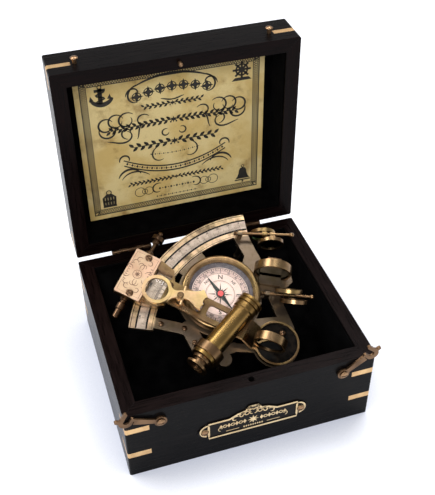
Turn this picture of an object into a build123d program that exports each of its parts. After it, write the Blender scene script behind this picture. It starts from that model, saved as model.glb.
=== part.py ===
import os
from math import atan2, cos, degrees, hypot, radians, sin

from build123d import *

# Hinged wooden box with a tilted brass sextant resting on velvet inside. Millimetres.
# Origin: centre of the underside. +X right along the front, +Y to the hinges, +Z up.
# The lid stands open at a right angle and the two front hooks hang loose.

# ---------------------------------------------------------------- driving sizes
W = 140.0  # outside width of the box
D = 124.6  # outside depth
CASE_H = 49.7  # height of the lower half
LID_H = 24.0  # height of the lid
WALL = 8.3  # wall thickness
FLOOR = 4.0  # bottom board
TOP = 3.2  # lid board
CORNER_R = 1.2  # rounding of the upright corners
LINING = 0.4  # velvet thickness
LABEL_SIDE = 5.2  # margins of the paper label inside the lid
LABEL_TOP = 1.8
LABEL_FOOT = 6.2
RIM_GAP = 0.3  # gap between the rims when shut
GAP = 0.3  # gap between neighbouring moving pieces
RUN = 0.05  # radial clearance of pins and axles

KEY_L = 13.0  # length of a corner key's leg
KEY_H = 3.7  # height of a corner key
KEY_T = 1.5  # thickness of a corner key

PIN_R = 0.8  # hinge pin
KNUCKLE_R = 1.4
KNUCKLE_L = 5.0  # length of one hinge knuckle
KNUCKLES = 5  # knuckles on one hinge
HINGE_X = 36.0  # hinge centres left and right of the middle
LEAF_H = 8.0
LEAF_T = 1.0
LEAF_SCREW_R = 1.3

HOOK_IN = 19.0  # hook pivots, in from the ends of the box
HOOK_DROP = 8.2  # hook pivots below the case rim
HOOK_T = 1.4
HOOK_W = 2.9  # width of a hook's shank
HOOK_LEAN = 10.0  # lean of a hook's mouth towards its pivot
FINGER_W = 2.0
HOOK_EYE_R = 3.4
HOOK_SCREW_R = 1.1
STUD_IN = 15.4  # catch studs, in from the ends
STUD_RISE = 9.9  # studs above the lid rim
STUD_R = 1.2
STUD_HEAD_R = 2.1
LEFT_REST = 161.0  # resting directions of the hooks, seen from the front
RIGHT_REST = 36.0

PLATE_AT = 21.0  # middle of the name plate above the underside
PLATE_PIN_X = 27.6
PLATE_PIN_R = 0.8

LIMB_R = 85.0  # outer radius of the sextant's limb
LIMB_W = 14.0  # width of the limb
FRAME_T = 2.5  # thickness of the frame
LIMB_FROM = 86.0  # ends of the limb, degrees round the pivot
LIMB_TO = 159.0
WEB_IN = 57.0  # web behind the limb: inner radius and ends
WEB_FROM = 111.5
WEB_TO = 127.0
RACK_PITCH = 1.6  # teeth on the limb's edge and on the worm
TOOTH = 0.6  # depth of a tooth
SCALE_W = 5.4  # silver scale strip
GROOVE = 0.5  # groove each side of the strip, and its depth
TILT = 26.0  # slope of the sextant on its rest
LEG_H = 19.5  # legs below the frame
LEG_R = 2.4

ARM_AT = 139.0  # direction of the index arm
ARM_LOW = 8.8  # underside of the arm above the frame
ARM_T = 1.8
ARM_IN = 4.0  # arm edges each side of its radius
ARM_OUT = 9.5
RAIL = 3.0  # side rails of the arm
DISC_R = 13.2
DISC_T = 2.4
AXLE_R = 3.0

BLOCK_IN = 67.0  # vernier block, from and to, along the arm
BLOCK_OUT = 97.0
BLOCK_W = 29.4
BLOCK_T = 4.4
PLATE_L = 16.0  # cover plate
PLATE_T = 1.2
WORM_AT = 90.0  # distance of the tangent screw from the pivot
WORM_DROP = 1.5  # its axis below the top of the limb
WORM_R = 4.4
WORM_J = 1.6  # journals of the tangent screw
ROD_R = 1.1
KNOB_R = 3.8

COMPASS_X = -23.3
COMPASS_Y = 36.3
BEZEL_TOP = 8.2
CASE_R = 21.4
CASE_DEEP = 6.5  # compass case below the frame's top
DIAL_Z = 3.2  # face of the dial
DIAL_T = 0.8
GLASS_Z = 5.4  # underside of the compass glass
GLASS_T = 1.5
PIVOT_R = 0.6

SCOPE_X = -29.2  # a point on the telescope's axis
SCOPE_Y = 9.5
SCOPE_Z = 19.5
SCOPE_AT = 35.5  # direction of its axis
TUBE_R = 6.0
TUBE_L = 37.0
HOLDER_R = 8.4

MIRROR_R = 9.4  # index mirror cup
MIRROR_AT = 235.5  # direction the index mirror faces
HORIZON_R = 11.0
HORIZON_AT = 247.0
CUP_T = 5.0

LENS_R = 6.6  # magnifier
LENS_RING = 8.5
MAG_Z = 13.6

BAR_R = 0.9
SHADE_R = 8.0
SHADE_T = 2.2
SHADE_LUG_R = 1.5

os.makedirs("parts", exist_ok=True)

# ---------------------------------------------------------------- tied values
IN_X = W / 2 - WALL  # inner faces of the walls
IN_Y = D / 2 - WALL
HINGE_Y = D / 2 + KNUCKLE_R + 0.15
HINGE_Z = CASE_H + RIM_GAP / 2
HOOK_X = W / 2 - HOOK_IN
HOOK_Z = CASE_H - HOOK_DROP
STUD_X = W / 2 - STUD_IN
STUD_Z = CASE_H + RIM_GAP + STUD_RISE
HOOK_L = hypot(STUD_X - HOOK_X, STUD_Z - HOOK_Z)
LIMB_IN = LIMB_R - LIMB_W
SCALE_R = LIMB_R - 3.8  # outer edge of the strip's channel
LIMB_MID = LIMB_R - LIMB_W / 2
RACK_TEETH = int(radians(LIMB_TO - LIMB_FROM - 2) * LIMB_R / RACK_PITCH)
ARM_TOP = ARM_LOW + ARM_T
BLOCK_TOP = GAP + BLOCK_T
BEZEL_R = CASE_R + 1.8
BEZEL_IN = CASE_R - 2.6
DIAL_R = CASE_R - 4.5
SEAT_X = IN_X - 34.7
SEAT_Y = IN_Y - LINING - 0.4 - LIMB_R * cos(radians(TILT)) - FRAME_T * sin(radians(TILT))
SEAT_Z = CASE_H + RIM_GAP + LID_H - TOP - LINING - 1.3 - LIMB_R * sin(radians(TILT))

FRONT = Plane(origin=(0, -D / 2, 0), x_dir=(1, 0, 0), z_dir=(0, -1, 0))
BACK = Plane(origin=(0, D / 2, 0), x_dir=(-1, 0, 0), z_dir=(0, 1, 0))
LID = Plane(origin=(0, HINGE_Y + RIM_GAP / 2, HINGE_Z + HINGE_Y), x_dir=(1, 0, 0), z_dir=(0, 1, 0))
LID_FRONT = Plane(origin=LID.from_local_coords((0, -D / 2, 0)), x_dir=(1, 0, 0), z_dir=(0, 0, 1))
LID_BACK = Plane(origin=LID.from_local_coords((0, D / 2, 0)), x_dir=(1, 0, 0), z_dir=(0, 0, -1))
SEAT = Plane(
    origin=(SEAT_X, SEAT_Y, SEAT_Z),
    x_dir=(1, 0, 0),
    z_dir=(0, -sin(radians(TILT)), cos(radians(TILT))),
)


def turned(plane, about_z, about_x=0):
    """The same plane turned on its own axes."""
    return Plane(plane.location * Location((0, 0, 0), (about_x, 0, about_z)))


def on(plane, x, y, z):
    """The same plane moved to the local point (x, y, z)."""
    return Plane(origin=plane.from_local_coords((x, y, z)), x_dir=plane.x_dir, z_dir=plane.z_dir)


def facing(plane, x, y, z, angle):
    """An upright plane at a local point, its normal lying in the given plane at an angle."""
    here = on(plane, x, y, z)
    normal = here.x_dir * cos(radians(angle)) + here.y_dir * sin(radians(angle))
    across = here.x_dir * -sin(radians(angle)) + here.y_dir * cos(radians(angle))
    return Plane(origin=here.origin, x_dir=across, z_dir=normal)


def profile(plane):
    """Upright plane through a plane's own axis: local x is the radius, local y the height."""
    return Plane(origin=plane.origin, x_dir=plane.x_dir, z_dir=-plane.y_dir)


def axis(plane):
    """The line through a plane's origin along its normal."""
    return Axis(plane.origin, plane.z_dir)


def wall_plan(turn, length, depth):
    """Plan of one mitred wall of a box, cut from the whole outline (inside the open sketch)."""
    RectangleRounded(W, D, CORNER_R)
    Rectangle(W - 2 * WALL, D - 2 * WALL, mode=Mode.SUBTRACT)
    half = length / 2
    out = depth / 2 + WALL
    with Locations(Location((0, 0, 0), (0, 0, turn))):
        Polygon(
            (-half - WALL, -out),
            (half + WALL, -out),
            (half - 2 * WALL, 3 * WALL - out),
            (2 * WALL - half, 3 * WALL - out),
            align=None,
            mode=Mode.INTERSECT,
        )


def key_plan():
    """Plan of the four L-shaped corner keys (inside the open sketch)."""
    RectangleRounded(W, D, CORNER_R)
    Rectangle(W - 2 * KEY_T, D - 2 * KEY_T, mode=Mode.SUBTRACT)
    Rectangle(W - 2 * KEY_L, D + 1, mode=Mode.SUBTRACT)
    Rectangle(W + 1, D - 2 * KEY_L, mode=Mode.SUBTRACT)


def mitred_wall(base, height, keys, turn, length, depth):
    """One wall of a box half standing on a plane, with its key slots cut."""
    with BuildPart() as wall:
        with BuildSketch(base):
            wall_plan(turn, length, depth)
        extrude(amount=height)
        with BuildSketch(*keys):
            key_plan()
        extrude(amount=KEY_H, mode=Mode.SUBTRACT)
    return wall.part


def dome(radius, edge, crown):
    """Arc of a sphere from its rim to its crown on the axis (inside the open line)."""
    rise = crown - edge
    ball = (radius * radius + rise * rise) / (2 * rise)
    middle = atan2(radius, ball - rise) / 2 if rise > 0 else -atan2(radius, rise - ball) / 2
    ThreePointArc((radius, edge), (ball * sin(middle), crown - ball + ball * cos(middle)), (0, crown))


def slotted_screw(plane, head_r, head_t, shank_r, shank_l):
    """Round-headed screw standing on a plane, its shank sunk behind it."""
    with BuildPart() as screw:
        with BuildSketch(profile(plane)):
            with BuildLine():
                Polyline((0, -shank_l), (shank_r, -shank_l), (shank_r, 0), (head_r, 0), (head_r, head_t * 0.35))
                dome(head_r, head_t * 0.35, head_t)
                Line((0, head_t), (0, -shank_l))
            make_face()
        revolve(axis=axis(plane))
        with BuildSketch(on(plane, 0, 0, head_t * 0.55)):
            Rectangle(head_r * 2.2, head_r * 0.28)
        extrude(amount=head_t, mode=Mode.SUBTRACT)
    return screw.part


def flat_screw(plane, radius, length):
    """Countersunk screw, its slotted top flush with a plane."""
    with BuildPart() as screw:
        with BuildSketch(profile(plane)):
            Polygon((0, 0), (radius, 0), (radius / 2, -radius / 2), (radius / 2, -length), (0, -length), align=None)
        revolve(axis=axis(plane))
        with BuildSketch(on(plane, 0, 0, -0.3)):
            Rectangle(radius * 2.2, radius * 0.3)
        extrude(amount=1, mode=Mode.SUBTRACT)
    return screw.part


ARM = turned(SEAT, ARM_AT)
CASE_KEYS = [Plane.XY.offset(z - KEY_H / 2) for z in (CASE_H - 12.7, 17.0)]
LID_KEY = LID.offset(STUD_RISE - KEY_H / 2)
PLATE_PINS = [on(FRONT, side * PLATE_PIN_X, PLATE_AT, 0.7) for side in (-1, 1)]
HOOK_SCREWS = [on(FRONT, side * HOOK_X, HOOK_Z, HOOK_T + 2 * GAP) for side in (-1, 1)]
STUDS = [on(LID_FRONT, side * STUD_X, STUD_RISE, 0) for side in (-1, 1)]
HINGES = [-HINGE_X, HINGE_X]
HINGE_W = KNUCKLES * KNUCKLE_L

# ---------------------------------------------------------------- lower half
with BuildPart() as case_bottom:
    with BuildSketch():
        RectangleRounded(W, D, CORNER_R)
    extrude(amount=FLOOR)
case_bottom.part.label = "case_bottom"

with BuildPart() as case_front:
    add(mitred_wall(Plane.XY.offset(FLOOR), CASE_H - FLOOR, CASE_KEYS, 0, W, D))
    with BuildSketch(Plane.XY.offset(CASE_H)):  # hole for the lid's locating pin
        with Locations((0, WALL / 2 - D / 2)):
            Circle(1.7)
    extrude(amount=-5, mode=Mode.SUBTRACT)
    with BuildSketch(*[on(FRONT, side * HOOK_X, HOOK_Z, 0) for side in (-1, 1)]):
        Circle(HOOK_SCREW_R)
    extrude(amount=-6, mode=Mode.SUBTRACT)
    with BuildSketch(FRONT):
        with Locations((-PLATE_PIN_X, PLATE_AT), (PLATE_PIN_X, PLATE_AT)):
            Circle(PLATE_PIN_R)
    extrude(amount=-4, mode=Mode.SUBTRACT)
case_front.part.label = "case_front"

with BuildPart() as case_back:
    add(mitred_wall(Plane.XY.offset(FLOOR), CASE_H - FLOOR, CASE_KEYS, 180, W, D))
    with BuildSketch(BACK):  # holes for the hinge screws
        with Locations(*[(side + step, CASE_H - 5.4) for side in HINGES for step in (-9, 0, 9)]):
            Circle(LEAF_SCREW_R * 0.5)
    extrude(amount=-4, mode=Mode.SUBTRACT)
case_back.part.label = "case_back"

with BuildPart() as case_left:
    add(mitred_wall(Plane.XY.offset(FLOOR), CASE_H - FLOOR, CASE_KEYS, -90, D, W))
case_left.part.label = "case_left"

with BuildPart() as case_right:
    add(mitred_wall(Plane.XY.offset(FLOOR), CASE_H - FLOOR, CASE_KEYS, 90, D, W))
case_right.part.label = "case_right"

with BuildPart() as case_keys:
    with BuildSketch(*CASE_KEYS):
        key_plan()
    extrude(amount=KEY_H)
case_keys.part.label = "case_keys"

with BuildPart() as case_lining:
    with BuildSketch(Plane.XY.offset(FLOOR)):
        Rectangle(2 * IN_X, 2 * IN_Y)
    extrude(amount=CASE_H - FLOOR - 1.2)
    with BuildSketch(Plane.XY.offset(FLOOR + LINING)):
        Rectangle(2 * (IN_X - LINING), 2 * (IN_Y - LINING))
    extrude(amount=CASE_H, mode=Mode.SUBTRACT)
case_lining.part.label = "case_lining"

# sloping rest: its top lies just below the sextant's feet
FOOT = on(SEAT, 0, 0, -FRAME_T - LEG_H - 0.1)
SLOPE = sin(radians(TILT)) / cos(radians(TILT))
REST_FRONT = FOOT.origin.Y - (FOOT.origin.Z - FLOOR - LINING - 2.2) / SLOPE
REST_BACK = IN_Y - LINING
with BuildPart() as velvet_rest:
    with BuildSketch(Plane.YZ.offset(LINING - IN_X)):
        Polygon(
            (REST_FRONT, FLOOR + LINING),
            (REST_BACK, FLOOR + LINING),
            (REST_BACK, FOOT.origin.Z + (REST_BACK - FOOT.origin.Y) * SLOPE),
            (REST_FRONT, FLOOR + LINING + 2.2),
            align=None,
        )
    extrude(amount=2 * (IN_X - LINING))
velvet_rest.part.label = "velvet_rest"

with BuildPart() as name_plate:
    with BuildSketch(FRONT):
        with Locations((0, PLATE_AT)):
            Rectangle(52, 13.4)
            SlotOverall(62.8, 8)
        with BuildLine():
            brow = PLATE_AT + 6.7
            Polyline((26, brow), (14, brow), (9, brow + 2.5), (4, brow + 3.5), (2.5, brow + 6.5))
            Polyline((2.5, brow + 6.5), (-2.5, brow + 6.5), (-4, brow + 3.5), (-9, brow + 2.5), (-14, brow))
            Polyline((-14, brow), (-26, brow), (-26, PLATE_AT), (26, PLATE_AT), (26, brow))
        make_face()
    extrude(amount=0.7)
    with BuildSketch(FRONT.offset(0.4)):
        with Locations((0, PLATE_AT)):
            Rectangle(49.4, 10.8)
    extrude(amount=1, mode=Mode.SUBTRACT)
    with BuildSketch(FRONT):
        with Locations((-PLATE_PIN_X, PLATE_AT), (PLATE_PIN_X, PLATE_AT)):
            Circle(PLATE_PIN_R)
    extrude(amount=1, mode=Mode.SUBTRACT)
name_plate.part.label = "name_plate"


def rods(radius, over, first, step):
    """Rods on the hinge line: one for each knuckle place from first in steps, over long at each end."""
    with BuildPart() as rod:
        for side in HINGES:
            for index in range(first, KNUCKLES, step):
                start = side - HINGE_W / 2 + index * KNUCKLE_L - over
                with BuildSketch(Plane(origin=(start, HINGE_Y, HINGE_Z), x_dir=(0, 1, 0), z_dir=(1, 0, 0))):
                    Circle(radius)
                extrude(amount=KNUCKLE_L + 2 * over)
    return rod.part


def leaves(plane, edge, first, screws_at):
    """Two hinge leaves below an edge on a back face, with tongues and knuckles."""
    with BuildPart() as pair:
        with BuildSketch(plane):
            for side in HINGES:
                with Locations((side, edge - KNUCKLE_R - GAP - LEAF_H / 2)):
                    Rectangle(HINGE_W, LEAF_H)
                for index in range(first, KNUCKLES, 2):
                    middle = side - HINGE_W / 2 + (index + 0.5) * KNUCKLE_L
                    with Locations((middle, edge - (KNUCKLE_R + GAP) / 2)):
                        Rectangle(KNUCKLE_L - 2 * RUN, KNUCKLE_R + GAP)
        extrude(amount=LEAF_T)
        add(rods(KNUCKLE_R, -RUN, first, 2))
        for place in screws_at:
            with BuildSketch(profile(place)):
                Polygon((0, 0), (LEAF_SCREW_R, 0), (LEAF_SCREW_R / 2, -LEAF_SCREW_R / 2), (LEAF_SCREW_R / 2, -3),
                        (0, -3), align=None)
            revolve(axis=axis(place), mode=Mode.SUBTRACT)
    return pair.part


CASE_LEAF_SCREWS = [on(BACK, side + step, CASE_H - 5.4, LEAF_T) for side in HINGES for step in (-9, 0, 9)]
LID_LEAF_SCREWS = [on(LID_BACK, side + step, -5.4, LEAF_T) for side in HINGES for step in (-9, 0, 9)]

with BuildPart() as case_leaves:  # the pins are riveted into these leaves
    add(leaves(BACK, HINGE_Z, 0, CASE_LEAF_SCREWS))
    add(rods(PIN_R, 0, 0, 1))
case_leaves.part.label = "case_leaves"

with BuildPart() as case_screws:  # hinge screws, plate pins and the screws the hooks turn on
    for place in CASE_LEAF_SCREWS:
        add(flat_screw(place, LEAF_SCREW_R, 5))
    for place in PLATE_PINS:
        add(slotted_screw(place, 2.0, 1.3, PLATE_PIN_R, 4.0))
    for place in HOOK_SCREWS:
        add(slotted_screw(place, 2.2, 1.3, HOOK_SCREW_R, HOOK_T + 2 * GAP + 5.5))
case_screws.part.label = "case_screws"

# ---------------------------------------------------------------- lid, standing open
with BuildPart() as lid_front:
    add(mitred_wall(LID, LID_H - TOP, [LID_KEY], 0, W, D))
    with BuildSketch(LID):  # socket of the locating pin
        with Locations((0, WALL / 2 - D / 2)):
            Circle(1.2)
    extrude(amount=4, mode=Mode.SUBTRACT)
    with BuildSketch(*STUDS):
        Circle(STUD_R)
    extrude(amount=-6, mode=Mode.SUBTRACT)
lid_front.part.label = "lid_front"

with BuildPart() as lid_back:
    add(mitred_wall(LID, LID_H - TOP, [LID_KEY], 180, W, D))
    with BuildSketch(LID_BACK):
        with Locations(*[(side + step, -5.4) for side in HINGES for step in (-9, 0, 9)]):
            Circle(LEAF_SCREW_R * 0.5)
    extrude(amount=-4, mode=Mode.SUBTRACT)
lid_back.part.label = "lid_back"

with BuildPart() as lid_left:
    add(mitred_wall(LID, LID_H - TOP, [LID_KEY], -90, D, W))
lid_left.part.label = "lid_left"

with BuildPart() as lid_right:
    add(mitred_wall(LID, LID_H - TOP, [LID_KEY], 90, D, W))
lid_right.part.label = "lid_right"

with BuildPart() as lid_top:
    with BuildSketch(LID.offset(LID_H - TOP)):
        RectangleRounded(W, D, CORNER_R)
    extrude(amount=TOP)
lid_top.part.label = "lid_top"

with BuildPart() as lid_keys:
    with BuildSketch(LID_KEY):
        key_plan()
    extrude(amount=KEY_H)
lid_keys.part.label = "lid_keys"

with BuildPart() as lid_lining:
    with BuildSketch(LID.offset(1.2)):
        Rectangle(2 * IN_X, 2 * IN_Y)
    extrude(amount=LID_H - TOP - 1.2)
    with BuildSketch(LID):
        Rectangle(2 * (IN_X - LINING), 2 * (IN_Y - LINING))
    extrude(amount=LID_H - TOP - LINING, mode=Mode.SUBTRACT)
lid_lining.part.label = "lid_lining"

with BuildPart() as lid_label:
    with BuildSketch(LID.offset(LID_H - TOP - LINING)):
        with Locations((0, (LABEL_FOOT - LABEL_TOP) / 2)):
            Rectangle(2 * IN_X - 2 * LABEL_SIDE, 2 * IN_Y - LABEL_TOP - LABEL_FOOT)
    extrude(amount=-0.15)
lid_label.part.label = "lid_label"

with BuildPart() as lid_screws:  # catch studs, hinge screws and the pin that drops into the case front
    for place in LID_LEAF_SCREWS:
        add(flat_screw(place, LEAF_SCREW_R, 5))
    for place in STUDS:
        add(slotted_screw(on(place, 0, 0, 2.7), STUD_HEAD_R, 1.3, STUD_R, 2.7 + 5.5))
    with BuildSketch(profile(on(LID, 0, WALL / 2 - D / 2, 4))):
        Polygon((0, 0), (1.2, 0), (1.2, -6.8), (0.6, -7.6), (0, -7.6), align=None)
    revolve(axis=axis(on(LID, 0, WALL / 2 - D / 2, 4)))
lid_screws.part.label = "lid_screws"

with BuildPart() as lid_leaves:
    add(leaves(LID_BACK, RIM_GAP / 2, 1, LID_LEAF_SCREWS))
    add(rods(PIN_R + RUN, 1, 0, 1), mode=Mode.SUBTRACT)
lid_leaves.part.label = "lid_leaves"


def hook(pivot, rest, turn):
    """Hook lying on the front at a resting direction; turn is the side its mouth opens to."""
    mouth = STUD_R + GAP + 0.1
    finger = mouth + FINGER_W / 2  # middle line of the finger, out from the mouth's middle line
    with BuildPart() as piece:
        with BuildSketch(turned(pivot, rest)):
            Circle(HOOK_EYE_R)
            Polygon(
                (0, 0.45 * HOOK_W), (HOOK_L - 4, 0.65 * HOOK_W), (HOOK_L - 4, -0.65 * HOOK_W), (0, -0.45 * HOOK_W),
                align=None,
            )
            with Locations((HOOK_L + 0.2, -turn * 0.5)):  # body round the mouth, with a shoulder before it
                Circle(mouth + 2.2)
            with Locations((HOOK_L - mouth - 1.4, turn * 1.5)):
                Circle(1.2)
            with Locations((HOOK_L + mouth + FINGER_W + 0.2, -turn * 0.4)):  # thumb tab that lifts the hook
                Rectangle(3.2, 1.9)
            with Locations((HOOK_L + mouth + FINGER_W + 1.6, -turn * 0.4)):
                Circle(0.95)
            with Locations(Location((HOOK_L, 0, 0), (0, 0, turn * HOOK_LEAN))):  # finger and mouth
                with Locations((finger, turn * 2.4)):
                    Rectangle(FINGER_W, 4.8)
                with Locations((finger, turn * 4.8)):
                    Circle(FINGER_W / 2)
                Circle(mouth, mode=Mode.SUBTRACT)
                with Locations((0, turn * 3.5)):
                    Rectangle(2 * mouth, 7, mode=Mode.SUBTRACT)
            Circle(HOOK_SCREW_R + RUN, mode=Mode.SUBTRACT)
        extrude(amount=HOOK_T)
    return piece.part


with BuildPart() as left_hook:
    add(hook(on(FRONT, -HOOK_X, HOOK_Z, GAP), LEFT_REST, -1))
left_hook.part.label = "left_hook"

with BuildPart() as right_hook:
    add(hook(on(FRONT, HOOK_X, HOOK_Z, GAP), RIGHT_REST, 1))
right_hook.part.label = "right_hook"

# ---------------------------------------------------------------- sextant frame
SHELF = on(SEAT, 0, 0, -FRAME_T)  # underside of the frame
COMPASS = on(SEAT, COMPASS_X, COMPASS_Y, 0)
SCOPE = facing(SEAT, SCOPE_X, SCOPE_Y, SCOPE_Z, SCOPE_AT)
LEGS = [
    on(SHELF, -31, -1, 0),
    on(SHELF, LIMB_MID * cos(radians(151.5)) * 0.97, LIMB_MID * sin(radians(151.5)) * 0.97, 0),
    on(SHELF, -0.4, 66.8, 0),
]
FRAME_SCREWS = [on(SEAT, -60.9, 28, 0), on(SEAT, -48.5, 22.2, 0), on(SEAT, -45, 12.6, 0)]
BAR_Z = (5.0, 4.0)  # shade bars above the frame
BARS = [turned(on(SEAT, -3.4, 71.4, BAR_Z[0]), -14.7), turned(on(SEAT, 1.6, 31.0, BAR_Z[1]), -18.6)]
BAR_L = (33.0, 28.0)
HORIZON = facing(SEAT, 10.6, 42.6, 7.0, HORIZON_AT)
UPRIGHT = turned(on(SEAT, 10.6, 42.6, 0), HORIZON_AT - 270)  # y runs back from the mirror's face
ADJUSTERS = [
    Plane(origin=on(UPRIGHT, -0.5, CUP_T / 2 + 1.8, height).origin, x_dir=-UPRIGHT.x_dir, z_dir=UPRIGHT.y_dir)
    for height in (6.0, 12.0)
]
SHADE_DROP = 7.0  # ring centres below their bar


def ring_sector(outer, inner, start, stop):
    """Part of a flat ring round the pivot (inside the open sketch)."""
    with BuildLine() as outline:
        CenterArc((0, 0), outer, start, stop - start)
        CenterArc((0, 0), inner, start, stop - start)
        for angle in (start, stop):
            turn = radians(angle)
            Line((inner * cos(turn), inner * sin(turn)), (outer * cos(turn), outer * sin(turn)))
    make_face(outline.edges())


def strut(x1, y1, x2, y2, width):
    """Straight bar with round ends between two points (inside the open sketch)."""
    with Locations(((x1 + x2) / 2, (y1 + y2) / 2)):
        SlotCenterToCenter(hypot(x2 - x1, y2 - y1), width, rotation=degrees(atan2(y2 - y1, x2 - x1)))


with BuildPart() as frame:
    with BuildSketch(SHELF):
        ring_sector(LIMB_R, LIMB_IN, LIMB_FROM, LIMB_TO)
        ring_sector(LIMB_IN + 0.5, WEB_IN, WEB_FROM, WEB_TO)
        with Locations((COMPASS_X, COMPASS_Y)):
            Circle(BEZEL_R + 1.8)
        Circle(13.6)
        strut(-66, 30.5, -46, 20.5, 6.4)
        strut(-46, 22, -42, 3, 9.0)
        strut(-42, 3, -24, 4.5, 6.0)
        strut(-24, 4.5, -6, -1, 5.0)
        strut(10.6, 8, 8.0, 31, 7.0)
        Polygon((-10.5, 18.5), (8, 16.0), (13, 5), (-13, 4), align=None)
        Polygon(  # plate that carries the horizon mirror, from the limb's end to the second shade bar
            (-4.6, 72.5), (-1.4, 58), (-6, 50), (-4, 30), (6, 29), (17, 32), (22, 35), (22.8, 39.5), (15, 46.5),
            (8, 53), (6.6, 60), (4.6, 72.5), align=None,
        )
        with Locations((-31, -1), (-42, 1)):
            Circle(4.2)
        with Locations((COMPASS_X, COMPASS_Y)):
            Circle(CASE_R, mode=Mode.SUBTRACT)
        Circle(AXLE_R + RUN, mode=Mode.SUBTRACT)
    extrude(amount=FRAME_T)
    with BuildSketch(UPRIGHT):  # slot for the foot of the horizon mirror
        Rectangle(2 * (HORIZON_R - 2.2), CUP_T)
    extrude(amount=-FRAME_T, mode=Mode.SUBTRACT)
    with BuildSketch(SEAT):
        ring_sector(SCALE_R, SCALE_R - SCALE_W - 2 * GROOVE, LIMB_FROM - 1, LIMB_TO + 1)
    extrude(amount=-GROOVE, mode=Mode.SUBTRACT)
    with BuildSketch(*FRAME_SCREWS[:3]):
        Circle(0.9)
    extrude(amount=-FRAME_T, mode=Mode.SUBTRACT)
    with BuildSketch(SEAT.offset(-0.5)):  # rack on the limb's edge, under a plain rim
        with PolarLocations(LIMB_R, RACK_TEETH, LIMB_FROM + 1, LIMB_TO - LIMB_FROM - 2):
            Polygon((TOOTH, RACK_PITCH / 2), (-TOOTH, 0), (TOOTH, -RACK_PITCH / 2), align=None)
    extrude(amount=-FRAME_T, mode=Mode.SUBTRACT)
    with BuildSketch(UPRIGHT):  # sill in front of the horizon mirror
        Polygon((-7, -8), (6, -8), (6, -CUP_T / 2), (-7, -CUP_T / 2), align=None)
    extrude(amount=3.4)
    for bar, height in zip(BARS, BAR_Z):  # ears that carry the shade bars
        with BuildSketch(Plane(origin=on(bar, 1.0, 0, 0).origin, x_dir=bar.y_dir, z_dir=bar.x_dir)):
            Circle(1.9)
            with Locations((0, -height / 2)):
                Rectangle(3.8, height)
            Circle(BAR_R, mode=Mode.SUBTRACT)
        extrude(amount=2.6)
frame.part.label = "frame"

with BuildPart() as limb_scale:
    with BuildSketch(SEAT.offset(-GROOVE)):
        ring_sector(SCALE_R - GROOVE, SCALE_R - GROOVE - SCALE_W, LIMB_FROM, LIMB_TO)
    extrude(amount=GROOVE)
limb_scale.part.label = "limb_scale"

with BuildPart() as legs:
    for place in LEGS:
        with BuildSketch(profile(place)):
            with BuildLine():
                Polyline((0, 0), (LEG_R + 0.6, 0), (LEG_R + 0.6, -1.4), (LEG_R - 0.4, -2.2), (LEG_R - 0.9, -LEG_H + 4))
                ThreePointArc((LEG_R - 0.9, -LEG_H + 4), (LEG_R, -LEG_H + 2), (LEG_R * 0.7, -LEG_H))
                Polyline((LEG_R * 0.7, -LEG_H), (0, -LEG_H), (0, 0))
            make_face()
        revolve(axis=axis(place))
legs.part.label = "legs"

with BuildPart() as frame_screws:
    for place in FRAME_SCREWS:
        add(slotted_screw(place, 1.6, 1.0, 0.9, FRAME_T))
    for place in ADJUSTERS:
        add(slotted_screw(place, 1.7, 1.2, 0.8, 1.8))
frame_screws.part.label = "frame_screws"

# ---------------------------------------------------------------- compass
with BuildPart() as compass_case:  # drum with a sloped inner wall and the needle's pivot
    with BuildSketch(profile(COMPASS)):
        Polygon(
            (0, -CASE_DEEP), (CASE_R - 1.5, -CASE_DEEP), (CASE_R, -CASE_DEEP + 1.5), (CASE_R, GLASS_Z),
            (CASE_R - 2.4, GLASS_Z), (DIAL_R, DIAL_Z + 0.3), (DIAL_R, DIAL_Z - DIAL_T), (PIVOT_R, DIAL_Z - DIAL_T),
            (PIVOT_R, DIAL_Z + 1.1), (0, DIAL_Z + 1.4), align=None,
        )
    revolve(axis=axis(COMPASS))
compass_case.part.label = "compass_case"

with BuildPart() as compass_bezel:
    with BuildSketch(profile(COMPASS)):
        with BuildLine():
            Polyline((CASE_R, 2.4), (CASE_R + 0.9, 2.4), (BEZEL_R, 3.6), (BEZEL_R, BEZEL_TOP - 1.6))
            ThreePointArc((BEZEL_R, BEZEL_TOP - 1.6), (BEZEL_R - 0.5, BEZEL_TOP - 0.5), (BEZEL_R - 1.6, BEZEL_TOP))
            Polyline((BEZEL_R - 1.6, BEZEL_TOP), (BEZEL_IN + 1.4, BEZEL_TOP), (BEZEL_IN, BEZEL_TOP - 1.2))
            Polyline((BEZEL_IN, BEZEL_TOP - 1.2), (BEZEL_IN, GLASS_Z + GLASS_T), (BEZEL_IN + 0.8, GLASS_Z + GLASS_T))
            Polyline((BEZEL_IN + 0.8, GLASS_Z + GLASS_T), (BEZEL_IN + 0.8, GLASS_Z), (CASE_R, GLASS_Z), (CASE_R, 2.4))
        make_face()
    revolve(axis=axis(COMPASS))
compass_bezel.part.label = "compass_bezel"

with BuildPart() as compass_glass:
    with BuildSketch(COMPASS.offset(GLASS_Z)):
        Circle(BEZEL_IN + 0.8)
    extrude(amount=GLASS_T)
compass_glass.part.label = "compass_glass"

with BuildPart() as compass_dial:
    with BuildSketch(COMPASS.offset(DIAL_Z - DIAL_T)):
        Circle(DIAL_R)
        Circle(PIVOT_R, mode=Mode.SUBTRACT)
    extrude(amount=DIAL_T)
compass_dial.part.label = "compass_dial"

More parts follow.
